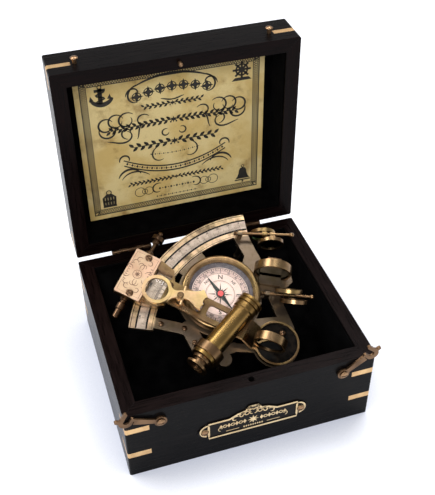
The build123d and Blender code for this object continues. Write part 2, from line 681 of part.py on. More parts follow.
NEEDLE_AT = 111.0
with BuildPart() as needle:
    with BuildSketch(turned(COMPASS.offset(DIAL_Z + 0.55), NEEDLE_AT)):
        Polygon((13.6, 0), (3, 1.2), (-3, 1.2), (-12.4, 0), (-3, -1.2), (3, -1.2), align=None)
        Circle(2.6)
    extrude(amount=0.35)
    with BuildSketch(COMPASS.offset(DIAL_Z + 0.9)):
        Circle(1.7)
    extrude(amount=0.9)
    with BuildSketch(COMPASS.offset(DIAL_Z + 0.5)):
        Circle(PIVOT_R + RUN)
    extrude(amount=0.95, mode=Mode.SUBTRACT)
needle.part.label = "needle"

# ---------------------------------------------------------------- telescope
with BuildPart() as scope_holder:
    with BuildSketch(SCOPE.offset(-19.2)):
        Circle(HOLDER_R)
    extrude(amount=5.2)
    with BuildSketch(on(SEAT, SCOPE_X - 16.6 * cos(radians(SCOPE_AT)), SCOPE_Y - 16.6 * sin(radians(SCOPE_AT)), 0)):
        Rectangle(4.6, 8.0, rotation=SCOPE_AT)
    extrude(amount=SCOPE_Z - TUBE_R - 0.5)
    with BuildSketch(SCOPE.offset(-20)):
        Circle(TUBE_R)
    extrude(amount=7, mode=Mode.SUBTRACT)
scope_holder.part.label = "scope_holder"

with BuildPart() as scope_tube:  # barrel with its collar, its bead and the objective cell
    with BuildSketch(profile(SCOPE)):
        Polygon(
            (TUBE_R - 0.8, -21.4), (TUBE_R + 1.5, -21.4), (TUBE_R + 1.5, -19.2), (TUBE_R, -19.2), (TUBE_R, 14.0),
            (TUBE_R + 0.7, 14.6), (TUBE_R + 0.7, 17.7), (TUBE_R + 0.4, 18.0), (TUBE_R + 1.1, 18.3),
            (TUBE_R + 1.1, 19.6), (TUBE_R + 0.5, 19.9), (TUBE_R + 0.5, 20.6), (TUBE_R + 1.1, 20.9),
            (TUBE_R + 1.1, 22.4), (TUBE_R - 0.6, 22.4), (TUBE_R - 0.6, 20.6), (TUBE_R - 1.6, 20.4),
            (TUBE_R - 1.6, 18.4), (TUBE_R - 0.8, 18.0), align=None,
        )
    revolve(axis=axis(SCOPE))
scope_tube.part.label = "scope_tube"

with BuildPart() as objective_lens:
    with BuildSketch(profile(SCOPE)):
        with BuildLine():
            Line((0, 18.9), (TUBE_R - 1.6, 18.9))
            Line((TUBE_R - 1.6, 18.9), (TUBE_R - 1.6, 19.6))
            dome(TUBE_R - 1.6, 19.6, 20.3)
            Line((0, 20.3), (0, 18.9))
        make_face()
    revolve(axis=axis(SCOPE))
objective_lens.part.label = "objective_lens"

with BuildPart() as drawtube:
    with BuildSketch(profile(SCOPE)):
        inner = TUBE_R - 0.8 - RUN
        Polygon(
            (inner - 0.9, -27.6), (TUBE_R + 0.5, -27.6), (TUBE_R + 0.5, -26.2), (4.2, -25.6), (4.2, -23.4),
            (TUBE_R - 0.3, -23.4), (TUBE_R - 0.3, -21.8), (inner, -21.8), (inner, -8.0), (inner - 0.9, -8.0),
            (inner - 0.9, -22.6), (3.2, -22.6), (3.2, -26.4), (inner - 0.9, -26.4), align=None,
        )
    revolve(axis=axis(SCOPE))
drawtube.part.label = "drawtube"

with BuildPart() as eye_lens:
    with BuildSketch(profile(SCOPE)):
        Polygon((0, -26.0), (3.2, -25.6), (3.2, -24.6), (0, -24.2), align=None)
    revolve(axis=axis(SCOPE))
eye_lens.part.label = "eye_lens"


# ---------------------------------------------------------------- mirrors
def cup(plane, radius):
    """Round mirror cup, open towards the plane's normal."""
    with BuildPart() as bowl:
        with BuildSketch(plane.offset(-CUP_T / 2)):
            Circle(radius)
        extrude(amount=CUP_T)
        with BuildSketch(plane.offset(CUP_T / 2 - 2.2)):
            Circle(radius - 1.3)
        extrude(amount=3, mode=Mode.SUBTRACT)
    return bowl.part


with BuildPart() as horizon_cup:
    add(cup(HORIZON, HORIZON_R))
horizon_cup.part.label = "horizon_cup"

with BuildPart() as horizon_glass:
    with BuildSketch(HORIZON.offset(CUP_T / 2 - 2.2)):
        Circle(HORIZON_R - 1.3)
    extrude(amount=1.4)
horizon_glass.part.label = "horizon_glass"

with BuildPart() as horizon_bracket:
    with BuildSketch(UPRIGHT):
        Polygon((-8, CUP_T / 2), (3.5, CUP_T / 2), (3.5, CUP_T / 2 + 4.6), (-8, CUP_T / 2 + 4.6), align=None)
    extrude(amount=1.6)
    with BuildSketch(UPRIGHT):
        Polygon((-4.5, CUP_T / 2), (3.5, CUP_T / 2), (3.5, CUP_T / 2 + 1.8), (-4.5, CUP_T / 2 + 1.8), align=None)
    extrude(amount=15)
    with BuildSketch(*ADJUSTERS):
        Circle(0.8)
    extrude(amount=-2.4, mode=Mode.SUBTRACT)
horizon_bracket.part.label = "horizon_bracket"

# ---------------------------------------------------------------- shades
with BuildPart() as shade_bars:
    for bar, length in zip(BARS, BAR_L):
        with BuildSketch(profile(Plane(origin=bar.origin, x_dir=bar.y_dir, z_dir=bar.x_dir))):
            with BuildLine():
                Line((0, -1.4), (0, length + 2.6))
                dome(1.6, length + 1.0, length + 2.6)
                ThreePointArc((1.6, length + 1.0), (1.4, length + 0.2), (BAR_R, length - 0.4))
                Line((BAR_R, length - 0.4), (BAR_R, 0.1))
                ThreePointArc((BAR_R, 0.1), (1.25, -0.4), (1.4, -1.0))
                Line((1.4, -1.0), (1.2, -1.4))
                Line((1.2, -1.4), (0, -1.4))
            make_face()
        revolve(axis=Axis(bar.origin, bar.x_dir))
shade_bars.part.label = "shade_bars"


def shade_place(bar, along, offset, lean):
    """Frame of one shade: x along its bar, y up the ring, z through it, origin at the ring's centre."""
    hung = turned(bar, 0, lean)
    centre = on(hung, along, offset, -SHADE_DROP)
    return Plane(origin=centre.origin, x_dir=hung.x_dir, z_dir=-hung.y_dir)


def shade_ring(place, offset):
    """Ring of a shade with the lug that turns on its bar."""
    side = Plane(origin=on(place, -1.5, SHADE_DROP, 0).origin, x_dir=place.z_dir, z_dir=place.x_dir)
    with BuildPart() as ring:
        with BuildSketch(place.offset(-SHADE_T / 2)):
            Circle(SHADE_R)
            Circle(SHADE_R - 1.5, mode=Mode.SUBTRACT)
        extrude(amount=SHADE_T)
        with BuildSketch(side):
            with Locations((offset, 0)):
                Circle(SHADE_LUG_R)
            with Locations((offset / 2, -0.3)):
                Rectangle(abs(offset), 1.2)
        extrude(amount=3)
        with BuildSketch(side):
            with Locations((offset, 0)):
                Circle(BAR_R + RUN)
        extrude(amount=3, mode=Mode.SUBTRACT)
    return ring.part


def shade_glass(place):
    """Tinted glass held in a shade ring."""
    with BuildPart() as glass:
        with BuildSketch(place.offset(-0.5)):
            Circle(SHADE_R - 1.5)
        extrude(amount=1)
    return glass.part


SHADE_OUT = SHADE_T / 2 + SHADE_LUG_R + GAP  # a shade's middle from its bar, clear of its neighbour's lug
SHADES = [
    (BARS[0], 17.4, SHADE_OUT, 0), (BARS[0], 22.2, -SHADE_OUT, 0),
    (BARS[1], 13.4, -SHADE_OUT, 205), (BARS[1], 16.8, SHADE_OUT, 205),
]
PLACES = [shade_place(*shade) for shade in SHADES]

with BuildPart() as shade_ring_1:
    add(shade_ring(PLACES[0], SHADES[0][2]))
shade_ring_1.part.label = "shade_ring_1"

with BuildPart() as shade_glass_1:
    add(shade_glass(PLACES[0]))
shade_glass_1.part.label = "shade_glass_1"

with BuildPart() as shade_ring_2:
    add(shade_ring(PLACES[1], SHADES[1][2]))
shade_ring_2.part.label = "shade_ring_2"

with BuildPart() as shade_glass_2:
    add(shade_glass(PLACES[1]))
shade_glass_2.part.label = "shade_glass_2"

with BuildPart() as shade_ring_3:
    add(shade_ring(PLACES[2], SHADES[2][2]))
shade_ring_3.part.label = "shade_ring_3"

with BuildPart() as shade_glass_3:
    add(shade_glass(PLACES[2]))
shade_glass_3.part.label = "shade_glass_3"

with BuildPart() as shade_ring_4:
    add(shade_ring(PLACES[3], SHADES[3][2]))
shade_ring_4.part.label = "shade_ring_4"

with BuildPart() as shade_glass_4:
    add(shade_glass(PLACES[3]))
shade_glass_4.part.label = "shade_glass_4"

# ---------------------------------------------------------------- index arm
DISC_Z = 2.0  # underside of the disc above the frame
DISC_FLOOR = 1.4
MIRROR_SCREW = (5.1, 4.8)
INDEX = facing(SEAT, -5.9, -0.9, DISC_Z + DISC_FLOOR + MIRROR_R, MIRROR_AT)
POST = on(ARM, 60.6, 3.9, ARM_TOP)
PLATE_Z = BLOCK_TOP
WORM = Plane(origin=on(ARM, WORM_AT, 0, -WORM_DROP).origin, x_dir=ARM.x_dir, z_dir=-ARM.y_dir)

with BuildPart() as index_arm:
    with BuildSketch(profile(ARM).offset(-ARM_OUT)):
        Polygon(
            (8, DISC_Z), (12.5, DISC_Z), (19.3, ARM_LOW), (BLOCK_IN + 3.5, ARM_LOW), (BLOCK_IN + 3.5, ARM_TOP),
            (18.6, ARM_TOP), (11.7, DISC_Z + DISC_T), (8, DISC_Z + DISC_T), align=None,
        )
    extrude(amount=ARM_IN + ARM_OUT)
    with BuildSketch(ARM.offset(ARM_LOW - 1)):
        with Locations((32.2, (ARM_OUT - ARM_IN) / 2)):
            RectangleRounded(22.5, ARM_IN + ARM_OUT - 2 * RAIL, 2)
        with Locations((52.2, (ARM_OUT - ARM_IN) / 2)):
            RectangleRounded(10.5, ARM_IN + ARM_OUT - 2 * RAIL, 2)
        with Locations((BLOCK_IN + 1.8, -1.0)):
            Circle(1.0)
    extrude(amount=5, mode=Mode.SUBTRACT)
    with BuildSketch(ARM.offset(DISC_Z)):
        Circle(DISC_R)
    extrude(amount=DISC_T)
    with BuildSketch(ARM.offset(DISC_Z + DISC_FLOOR)):
        Circle(DISC_R - 1.2)
    extrude(amount=DISC_T + 0.6, mode=Mode.SUBTRACT)
    with BuildSketch(SEAT.offset(DISC_Z)):
        Circle(AXLE_R)
        with Locations(MIRROR_SCREW):
            Circle(0.8)
    extrude(amount=DISC_FLOOR, mode=Mode.SUBTRACT)
    with BuildSketch(profile(POST)):  # post that the magnifier turns on
        rise = MAG_Z - ARM_TOP
        Polygon(
            (0, 0), (2.2, 0), (2.2, 0.8), (1.5, 1.2), (1.5, rise - GAP), (0.9, rise - GAP), (0.9, rise + 2.1),
            (1.9, rise + 2.1), (1.9, rise + 2.9), (1.3, rise + 3.4), (0, rise + 3.4), align=None,
        )
    revolve(axis=axis(POST))
index_arm.part.label = "index_arm"

with BuildPart() as pivot_axle:
    with BuildSketch(profile(SEAT)):
        Polygon(
            (0, -FRAME_T - 3.4), (5.2, -FRAME_T - 3.4), (5.8, -FRAME_T - 2.6), (5.8, -FRAME_T - GAP),
            (AXLE_R, -FRAME_T - GAP), (AXLE_R, GAP), (6.5, GAP), (6.5, DISC_Z), (AXLE_R, DISC_Z),
            (AXLE_R, DISC_Z + DISC_FLOOR), (0, DISC_Z + DISC_FLOOR), align=None,
        )
    revolve(axis=axis(SEAT))
pivot_axle.part.label = "pivot_axle"

with BuildPart() as index_cup:
    add(cup(INDEX, MIRROR_R))
    with BuildSketch(turned(on(SEAT, -5.9, -0.9, DISC_Z + DISC_FLOOR), MIRROR_AT - 270)):
        Rectangle(9, CUP_T)
    extrude(amount=2.0)
    with BuildSketch(INDEX.offset(CUP_T / 2 - 2.2)):
        Circle(MIRROR_R - 1.3)
    extrude(amount=3, mode=Mode.SUBTRACT)
index_cup.part.label = "index_cup"

with BuildPart() as index_glass:
    with BuildSketch(INDEX.offset(CUP_T / 2 - 2.2)):
        Circle(MIRROR_R - 1.3)
    extrude(amount=1.4)
index_glass.part.label = "index_glass"

with BuildPart() as vernier_block:
    with BuildSketch(ARM.offset(GAP)):
        Polygon(
            (BLOCK_OUT, BLOCK_W / 2), (80, BLOCK_W / 2), (BLOCK_IN + 4.5, 12.5), (BLOCK_IN, ARM_OUT),
            (BLOCK_IN, -ARM_IN - 0.5), (BLOCK_IN + 4.5, -12.5), (80, -BLOCK_W / 2), (BLOCK_OUT, -BLOCK_W / 2),
            align=None,
        )
    extrude(amount=BLOCK_T)
    with BuildSketch(ARM.offset(GAP)):
        with Locations((75.6, 0)):
            Rectangle(9.6, 18)
    extrude(amount=BLOCK_T, mode=Mode.SUBTRACT)
    with BuildSketch(ARM.offset(BLOCK_TOP)):
        with Locations((BLOCK_IN + 1.75, (ARM_OUT - ARM_IN) / 2)):
            Rectangle(3.5, ARM_IN + ARM_OUT)
    extrude(amount=ARM_LOW - BLOCK_TOP)
    with BuildSketch(ARM.offset(ARM_LOW)):
        with Locations((BLOCK_IN + 1.8, -1.0)):
            Circle(1.0)
    extrude(amount=-2.5, mode=Mode.SUBTRACT)
    with BuildSketch(ARM.offset(GAP + 1)):
        with Locations((WORM_AT + 0.4, 11.6), (WORM_AT + 0.4, -11.6)):
            Rectangle(8.2, 2.6)
    extrude(amount=-6.2)
    with BuildSketch(WORM.offset(-BLOCK_W)):
        Circle(WORM_J + RUN)
    extrude(amount=2 * BLOCK_W, mode=Mode.SUBTRACT)
    with BuildSketch(WORM.offset(-10.3)):
        Circle(WORM_R + GAP)
    extrude(amount=20.6, mode=Mode.SUBTRACT)
    with BuildSketch(WORM.offset(12.9), WORM.offset(-12.9 - 5)):
        Circle(2.6 + GAP)
    extrude(amount=5, mode=Mode.SUBTRACT)
vernier_block.part.label = "vernier_block"

with BuildPart() as vernier_scale:
    with BuildSketch(ARM.offset(GAP)):
        with Locations((73.1, 0)):
            Rectangle(4.6, 18)
    extrude(amount=0.6)
vernier_scale.part.label = "vernier_scale"

COVER_SCREWS = [on(ARM, 88, side * 12.2, PLATE_Z + PLATE_T - 0.6) for side in (-1, 1)]
with BuildPart() as cover_plate:
    with BuildSketch(ARM.offset(PLATE_Z)):
        with Locations((BLOCK_OUT - PLATE_L / 2, 0)):
            RectangleRounded(PLATE_L, BLOCK_W, 0.8)
        with Locations((88, 12.2), (88, -12.2)):
            Circle(0.9, mode=Mode.SUBTRACT)
    extrude(amount=PLATE_T)
    with BuildSketch(*COVER_SCREWS):
        Circle(2.3)
    extrude(amount=2, mode=Mode.SUBTRACT)
cover_plate.part.label = "cover_plate"

with BuildPart() as arm_screws:
    for place in COVER_SCREWS:
        add(slotted_screw(place, 1.9, 0.8, 0.9, PLATE_T - 0.6))
    add(slotted_screw(on(ARM, BLOCK_IN + 1.8, -1.0, ARM_TOP), 1.8, 1.1, 1.0, ARM_T + 2.5))
    add(slotted_screw(on(SEAT, *MIRROR_SCREW, DISC_Z + DISC_FLOOR), 2.0, 1.5, 0.8, DISC_FLOOR))
arm_screws.part.label = "arm_screws"

MAG = on(ARM, 0, 0, MAG_Z)
with BuildPart() as magnifier_arm:  # ring, waisted neck, cross bar and fish tail
    with BuildSketch(MAG):
        with BuildLine():
            Spline((68.2, 0.2), (64.4, 2.3), (60.8, 0.5), (56.1, -1.6), (52.6, -3.2), (50.2, -5.6))
            Line((50.2, -5.6), (46.3, -2.2))
            ThreePointArc((46.3, -2.2), (47.8, 0.4), (46.7, 3.0))
            ThreePointArc((46.7, 3.0), (47.6, 4.7), (47.0, 6.4))
            Spline((47.0, 6.4), (50.8, 6.0), (54.8, 4.4), (59.0, 4.6), (63.1, 6.6), (65.6, 10.6))
            Line((65.6, 10.6), (68.2, 0.2))
        make_face()
        with Locations((60.6, 3.9)):
            Circle(2.7)
    extrude(amount=1.8)
    with BuildSketch(facing(MAG, 60.2, -2.8, 0.9, 100)):
        Circle(0.85)
    extrude(amount=11.6)
    with BuildSketch(MAG):
        with Locations((60.6, 3.9)):
            Circle(0.9 + RUN)
    extrude(amount=2.0, mode=Mode.SUBTRACT)
    with BuildSketch(MAG):
        with Locations((74.1, 6.5)):
            Circle(LENS_RING)
    extrude(amount=2.0)
    with BuildSketch(MAG):
        with Locations((74.1, 6.5)):
            Circle(LENS_R)
    extrude(amount=2.0, mode=Mode.SUBTRACT)
magnifier_arm.part.label = "magnifier_arm"

with BuildPart() as magnifier_lens:
    with BuildSketch(profile(on(MAG, 74.1, 6.5, 0))):
        with BuildLine():
            dome(LENS_R, 1.3, 1.9)
            Polyline((LENS_R, 1.3), (LENS_R, 0.3), (0, 0.3), (0, 1.9))
        make_face()
    revolve(axis=axis(on(MAG, 74.1, 6.5, 0)))
magnifier_lens.part.label = "magnifier_lens"

WORM_TURNS = int(19.2 / RACK_PITCH)
WORM_TEETH = [
    (WORM_R - depth, -RACK_PITCH * WORM_TURNS / 2 + RACK_PITCH * (turn + along))
    for turn in range(WORM_TURNS)
    for depth, along in ((TOOTH, 0.0), (0.0, 0.4), (0.0, 0.6))
]
with BuildPart() as tangent_screw:
    with BuildSketch(profile(WORM)):
        with BuildLine():
            Polyline((0, -27.5), (1.4, -27.5), (1.8, -27), (1.8, -22), (2.4, -21.6), (2.4, -18), (1.7, -17.4))
            Polyline((1.7, -17.4), (1.7, -16), (2.5, -15.6), (2.5, -13.1), (WORM_J, -13.1), (WORM_J, -10.1))
            Polyline((WORM_J, -10.1), *WORM_TEETH, (WORM_J, 10.1), (WORM_J, 13.1))
            Polyline((WORM_J, 13.1), (2.5, 13.1), (2.5, 15), (1.9, 15.4), (1.9, 16.6), (2.5, 17), (2.5, 18.6))
            Polyline((2.5, 18.6), (ROD_R, 19.4), (ROD_R, 24.4), (2.2, 25.4), (2.2, 27.2), (KNOB_R, 27.2))
            Polyline((KNOB_R, 27.2), (KNOB_R, 29.8), (1.0, 30.2), (1.0, 31.051))
            ThreePointArc((1.0, 31.051), (1.45, 31.62), (1.6, 32.3))
            dome(1.6, 32.3, 33.9)
            Line((0, 33.9), (0, -27.5))
        make_face()
    revolve(axis=axis(WORM))
tangent_screw.part.label = "tangent_screw"

# ---------------------------------------------------------------- files
NODES = (
    case_bottom, case_front, case_back, case_left, case_right, case_keys, case_lining, velvet_rest, name_plate,
    case_leaves, case_screws, lid_front, lid_back, lid_left, lid_right, lid_top, lid_keys,
    lid_lining, lid_label, lid_screws, lid_leaves, left_hook, right_hook, frame, limb_scale,
    legs, frame_screws, compass_case, compass_bezel, compass_glass, compass_dial, needle, scope_holder,
    scope_tube, objective_lens, drawtube, eye_lens, horizon_cup, horizon_glass, horizon_bracket, shade_bars,
    shade_ring_1, shade_glass_1, shade_ring_2, shade_glass_2, shade_ring_3, shade_glass_3, shade_ring_4,
    shade_glass_4, index_arm, pivot_axle, index_cup, index_glass, vernier_block, vernier_scale, cover_plate,
    arm_screws, magnifier_arm, magnifier_lens, tangent_screw,
)
for node in NODES:
    export_step(node.part, f"parts/{node.part.label}.step")
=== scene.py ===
"""Looks of a hinged sextant box: dark wood, black velvet, aged brass, printed paper and glass."""

import logging
import math
from collections.abc import Callable
from dataclasses import dataclass, field, replace
from enum import Enum
from typing import ClassVar

import bmesh
import bpy
from mathutils import Matrix, Vector


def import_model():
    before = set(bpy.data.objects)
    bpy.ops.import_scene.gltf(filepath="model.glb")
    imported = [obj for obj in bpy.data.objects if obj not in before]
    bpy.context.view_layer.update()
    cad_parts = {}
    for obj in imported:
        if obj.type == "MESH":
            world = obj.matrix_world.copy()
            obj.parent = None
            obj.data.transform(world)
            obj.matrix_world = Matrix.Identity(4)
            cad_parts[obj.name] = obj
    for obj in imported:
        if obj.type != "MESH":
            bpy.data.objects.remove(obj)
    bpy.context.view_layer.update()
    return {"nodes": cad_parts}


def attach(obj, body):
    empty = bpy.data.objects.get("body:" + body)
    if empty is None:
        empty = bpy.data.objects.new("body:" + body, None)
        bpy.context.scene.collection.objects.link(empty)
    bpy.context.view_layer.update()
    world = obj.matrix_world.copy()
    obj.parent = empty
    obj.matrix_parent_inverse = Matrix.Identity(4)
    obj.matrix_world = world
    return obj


log = logging.getLogger("sextant_box")
MM = 0.001
Colour = tuple[float, float, float]
Point = tuple[float, float]
Pair = tuple[float, float]
Socket = bpy.types.NodeSocket


# ---------------------------------------------------------------- places
@dataclass(frozen=True)
class Place:
    """A local frame on the object, with its origin in millimetres."""

    origin: Vector
    x: Vector
    z: Vector

    @property
    def y(self) -> Vector:
        """Third direction of the frame."""
        return self.z.cross(self.x)

    def at(self, x: float, y: float, z: float = 0.0) -> Vector:
        """Point in metres from local millimetres."""
        return (self.origin + self.x * x + self.y * y + self.z * z) * MM

    def moved(self, x: float, y: float, z: float = 0.0) -> "Place":
        """The same frame with its origin at a local point."""
        return Place(self.origin + self.x * x + self.y * y + self.z * z, self.x, self.z)

    def turned(self, degrees: float) -> "Place":
        """The same frame turned on its own z."""
        turn = math.radians(degrees)
        return Place(self.origin, self.x * math.cos(turn) + self.y * math.sin(turn), self.z)


@dataclass(frozen=True)
class Sizes:
    """Sizes of the solids that the pieces here are fitted to, in millimetres.

    Attributes:
        depth: Case, from front to back.
        case_h: Case, from foot to rim.
        lid_rim_y: Rim of the open lid.
        tilt: Lean of the instrument, in degrees.
        seat: Middle of the arm's turn, on the frame's face.
        scale_in: Inner edge of the silver scale, from that middle.
        scale_out: Its outer edge.
        arm_at: Direction of the index arm, in degrees.
        compass: Middle of the compass, from the seat.
        dial_r: Radius of the dial.
        dial_z: Height of the dial's face over the frame's.
    """

    depth: float = 124.6
    case_h: float = 49.7
    lid_rim_y: float = 64.0
    tilt: float = 26.0
    seat: tuple[float, float, float] = (27.0, -24.2935, 31.8385)
    scale_in: float = 75.3
    scale_out: float = 80.7
    arm_at: float = 139.0
    compass: Point = (-23.3, 36.3)
    dial_r: float = 16.9
    dial_z: float = 3.2


SIZES = Sizes()
_TILT = math.radians(SIZES.tilt)
ACROSS, FORWARD = Vector((1, 0, 0)), Vector((0, -1, 0))
SEAT = Place(Vector(SIZES.seat), ACROSS, Vector((0, -math.sin(_TILT), math.cos(_TILT))))
ARM = SEAT.turned(SIZES.arm_at)
COMPASS = SEAT.moved(*SIZES.compass)


# ---------------------------------------------------------------- shading
class Graph:
    """A tree of shader nodes, with short ways to add nodes and join them."""

    def __init__(self, tree: bpy.types.NodeTree) -> None:
        """Takes the tree that the nodes go into."""
        self.tree = tree

    def add(self, kind: str, **settings: object) -> bpy.types.Node:
        """Adds a node and sets its plain properties.

        Args:
            kind: Blender's name for the node.
            settings: Its properties by name.

        Returns:
            The node.
        """
        node = self.tree.nodes.new(kind)
        for key, value in settings.items():
            setattr(node, key, value)
        return node

    def join(self, source: Socket, target: Socket) -> None:
        """Links two sockets."""
        self.tree.links.new(source, target)

    def feed(self, socket: Socket, value: object) -> None:
        """Sets a socket to a constant, or links it to another socket.

        Args:
            socket: Input of a node.
            value: Number, colour, vector, or the socket that it follows.
        """
        if isinstance(value, Socket):
            self.join(value, socket)
        elif isinstance(value, tuple) and len(value) == 3 and socket.type == "RGBA":
            socket.default_value = (*value, 1.0)
        else:
            socket.default_value = value

    def fed(self, kind: str, *values: object, **settings: object) -> bpy.types.Node:
        """Adds a node and feeds its first inputs in order.

        Args:
            kind: Blender's name for the node.
            values: What its first inputs get.
            settings: Its properties by name.

        Returns:
            The node.
        """
        node = self.add(kind, **settings)
        for index, value in enumerate(values):
            self.feed(node.inputs[index], value)
        return node

    def maths(self, operation: str, *values: object) -> Socket:
        """One maths node, clamped only where its operation says so."""
        return self.fed("ShaderNodeMath", *values, operation=operation).outputs[0]

    def between(self, value: object, low: float, high: float, out_low: float = 0.0, out_high: float = 1.0,
                way: str = "SMOOTHSTEP") -> Socket:
        """Maps a value from one range to another and clamps it.

        Args:
            value: Grey socket.
            low: Value that gives out_low.
            high: Value that gives out_high.
            out_low: Result at and beyond low.
            out_high: Result at and beyond high.
            way: How it goes from one to the other.

        Returns:
            Grey socket.
        """
        node = self.fed("ShaderNodeMapRange", value, low, high, out_low, out_high, interpolation_type=way)
        return node.outputs[0]

    def mix(self, factor: object, one: object, two: object) -> Socket:
        """Colour between two colours.

        Args:
            factor: 0 for the first, 1 for the second.
            one: Colour or socket.
            two: The same.

        Returns:
            Colour socket.
        """
        node = self.add("ShaderNodeMix", data_type="RGBA")
        for index, value in ((0, factor), (6, one), (7, two)):
            self.feed(node.inputs[index], value)
        return node.outputs[2]

    def sent_on(self, path: bpy.types.Node) -> Socket:
        """1 for the rays of a light path that metal or glass sends on."""
        return self.maths("MAXIMUM", path.outputs["Is Glossy Ray"], path.outputs["Is Transmission Ray"])


class Shader(Graph):
    """One node material."""

    def __init__(self, name: str) -> None:
        """Starts an empty material with a Principled shader.

        Args:
            name: The material's name.
        """
        self.material = bpy.data.materials.new(name)
        self.material.use_nodes = True
        super().__init__(self.material.node_tree)
        self.tree.nodes.clear()
        self.out = self.add("ShaderNodeOutputMaterial")
        self.skin = self.add("ShaderNodeBsdfPrincipled")
        self.join(self.skin.outputs[0], self.out.inputs["Surface"])
        self.where = self.add("ShaderNodeTexCoord").outputs["Object"]

    def stretched(self, x: float = 1.0, y: float = 1.0, z: float = 1.0) -> Socket:
        """Object coordinates in millimetres, scaled along each axis.

        Args:
            x: Scale along x.
            y: Scale along y.
            z: Scale along z.

        Returns:
            Vector socket.
        """
        node = self.add("ShaderNodeMapping")
        self.join(self.where, node.inputs["Vector"])
        node.inputs["Scale"].default_value = (x / MM, y / MM, z / MM)
        return node.outputs[0]

    def noise(self, vector: Socket, scale: float, detail: float = 4.0, rough: float = 0.55) -> Socket:
        """Grey noise on a coordinate.

        Args:
            vector: Where it is read.
            scale: Clouds per unit of the coordinate.
            detail: Number of finer noises laid over the first.
            rough: How strong the finer ones are.

        Returns:
            Grey socket.
        """
        node = self.add("ShaderNodeTexNoise")
        for key, value in (("Vector", vector), ("Scale", scale), ("Detail", detail), ("Roughness", rough)):
            self.feed(node.inputs[key], value)
        return node.outputs[0]

    def openness(self, distance_mm: float, samples: int) -> Socket:
        """Openness of a spot, 0 in a deep corner and 1 in the open.

        Args:
            distance_mm: How far another surface still counts.
            samples: Rays that measure it.

        Returns:
            Grey socket.
        """
        node = self.add("ShaderNodeAmbientOcclusion", samples=samples)
        node.inputs["Distance"].default_value = distance_mm * MM
        return node.outputs["AO"]

    def relief(self, height: Socket, distance_mm: float, strength: float, soften_mm: float = 0.0) -> None:
        """Gives the surface a bump, and rounds its edges a little.

        Args:
            height: Grey socket that the bump follows.
            distance_mm: Depth that the full range of grey stands for.
            strength: Share of that depth that shows.
            soften_mm: Radius of the rounding of sharp edges, or 0.
        """
        bump = self.add("ShaderNodeBump")
        self.join(height, bump.inputs["Height"])
        bump.inputs["Distance"].default_value = distance_mm * MM
        bump.inputs["Strength"].default_value = strength
        if soften_mm:
            edge = self.add("ShaderNodeBevel", samples=4)
            edge.inputs["Radius"].default_value = soften_mm * MM
            self.join(edge.outputs[0], bump.inputs["Normal"])
        self.join(bump.outputs[0], self.skin.inputs["Normal"])

    def set(self, **values: object) -> None:
        """Feeds inputs of the Principled shader, named in snake case."""
        for key, value in values.items():
            self.feed(self.skin.inputs[key.replace("_", " ").title().replace("Ior", "IOR")], value)


class Grain(Enum):
    """Axis that the wood's grain runs along, as the stretch of its figure."""

    X = (0.12, 1.6, 1.6)
    Y = (1.6, 0.12, 1.6)
    Z = (1.6, 1.6, 0.12)


@dataclass(frozen=True)
class Finish:
    """What a surface of the object looks like."""

    name: str

    def build(self) -> bpy.types.Material:
        """Makes the material.

        Returns:
            The material.
        """
        s = Shader(self.name)
        self.shade(s)
        return s.material

    def shade(self, s: Shader) -> None:
        """Sets the look of an empty material."""
        raise NotImplementedError


@dataclass(frozen=True)
class WoodFinish(Finish):
    """Near-black lacquered hardwood whose rims show as dark brown."""

    grain: Grain
    lid: bool = False
    ink: Colour = (0.0030, 0.0028, 0.0030)
    streak: Colour = (0.0080, 0.0066, 0.0066)
    rim: Colour = (0.0026, 0.0011, 0.0010)
    rim_streak: float = 2.4
    rim_depth: float = 0.25

    def shade(self, s: Shader) -> None:
        """Lays streaked lacquer, and brown on the rim.

        Args:
            s: The empty material.
        """
        along = s.stretched(*self.grain.value)
        bands = s.noise(along, 0.55, 5.0, 0.6)
        pores = s.noise(along, 3.2, 2.0, 0.5)
        body = s.mix(s.between(bands, 0.45, 0.72), self.ink, self.streak)
        brown = s.mix(s.between(bands, 0.35, 0.7), self.rim, tuple(self.rim_streak * c for c in self.rim))
        split = s.fed("ShaderNodeSeparateXYZ", s.where).outputs
        if self.lid:
            near = s.maths("LESS_THAN", split["Y"], (SIZES.lid_rim_y + self.rim_depth) * MM)
        else:
            near = s.maths("GREATER_THAN", split["Z"], (SIZES.case_h - self.rim_depth) * MM)
        s.set(base_color=s.mix(near, body, brown), specular_ior_level=0.06,
              roughness=s.between(bands, 0.3, 0.8, 0.26, 0.38))
        s.relief(pores, 0.03, 0.25, 0.35)


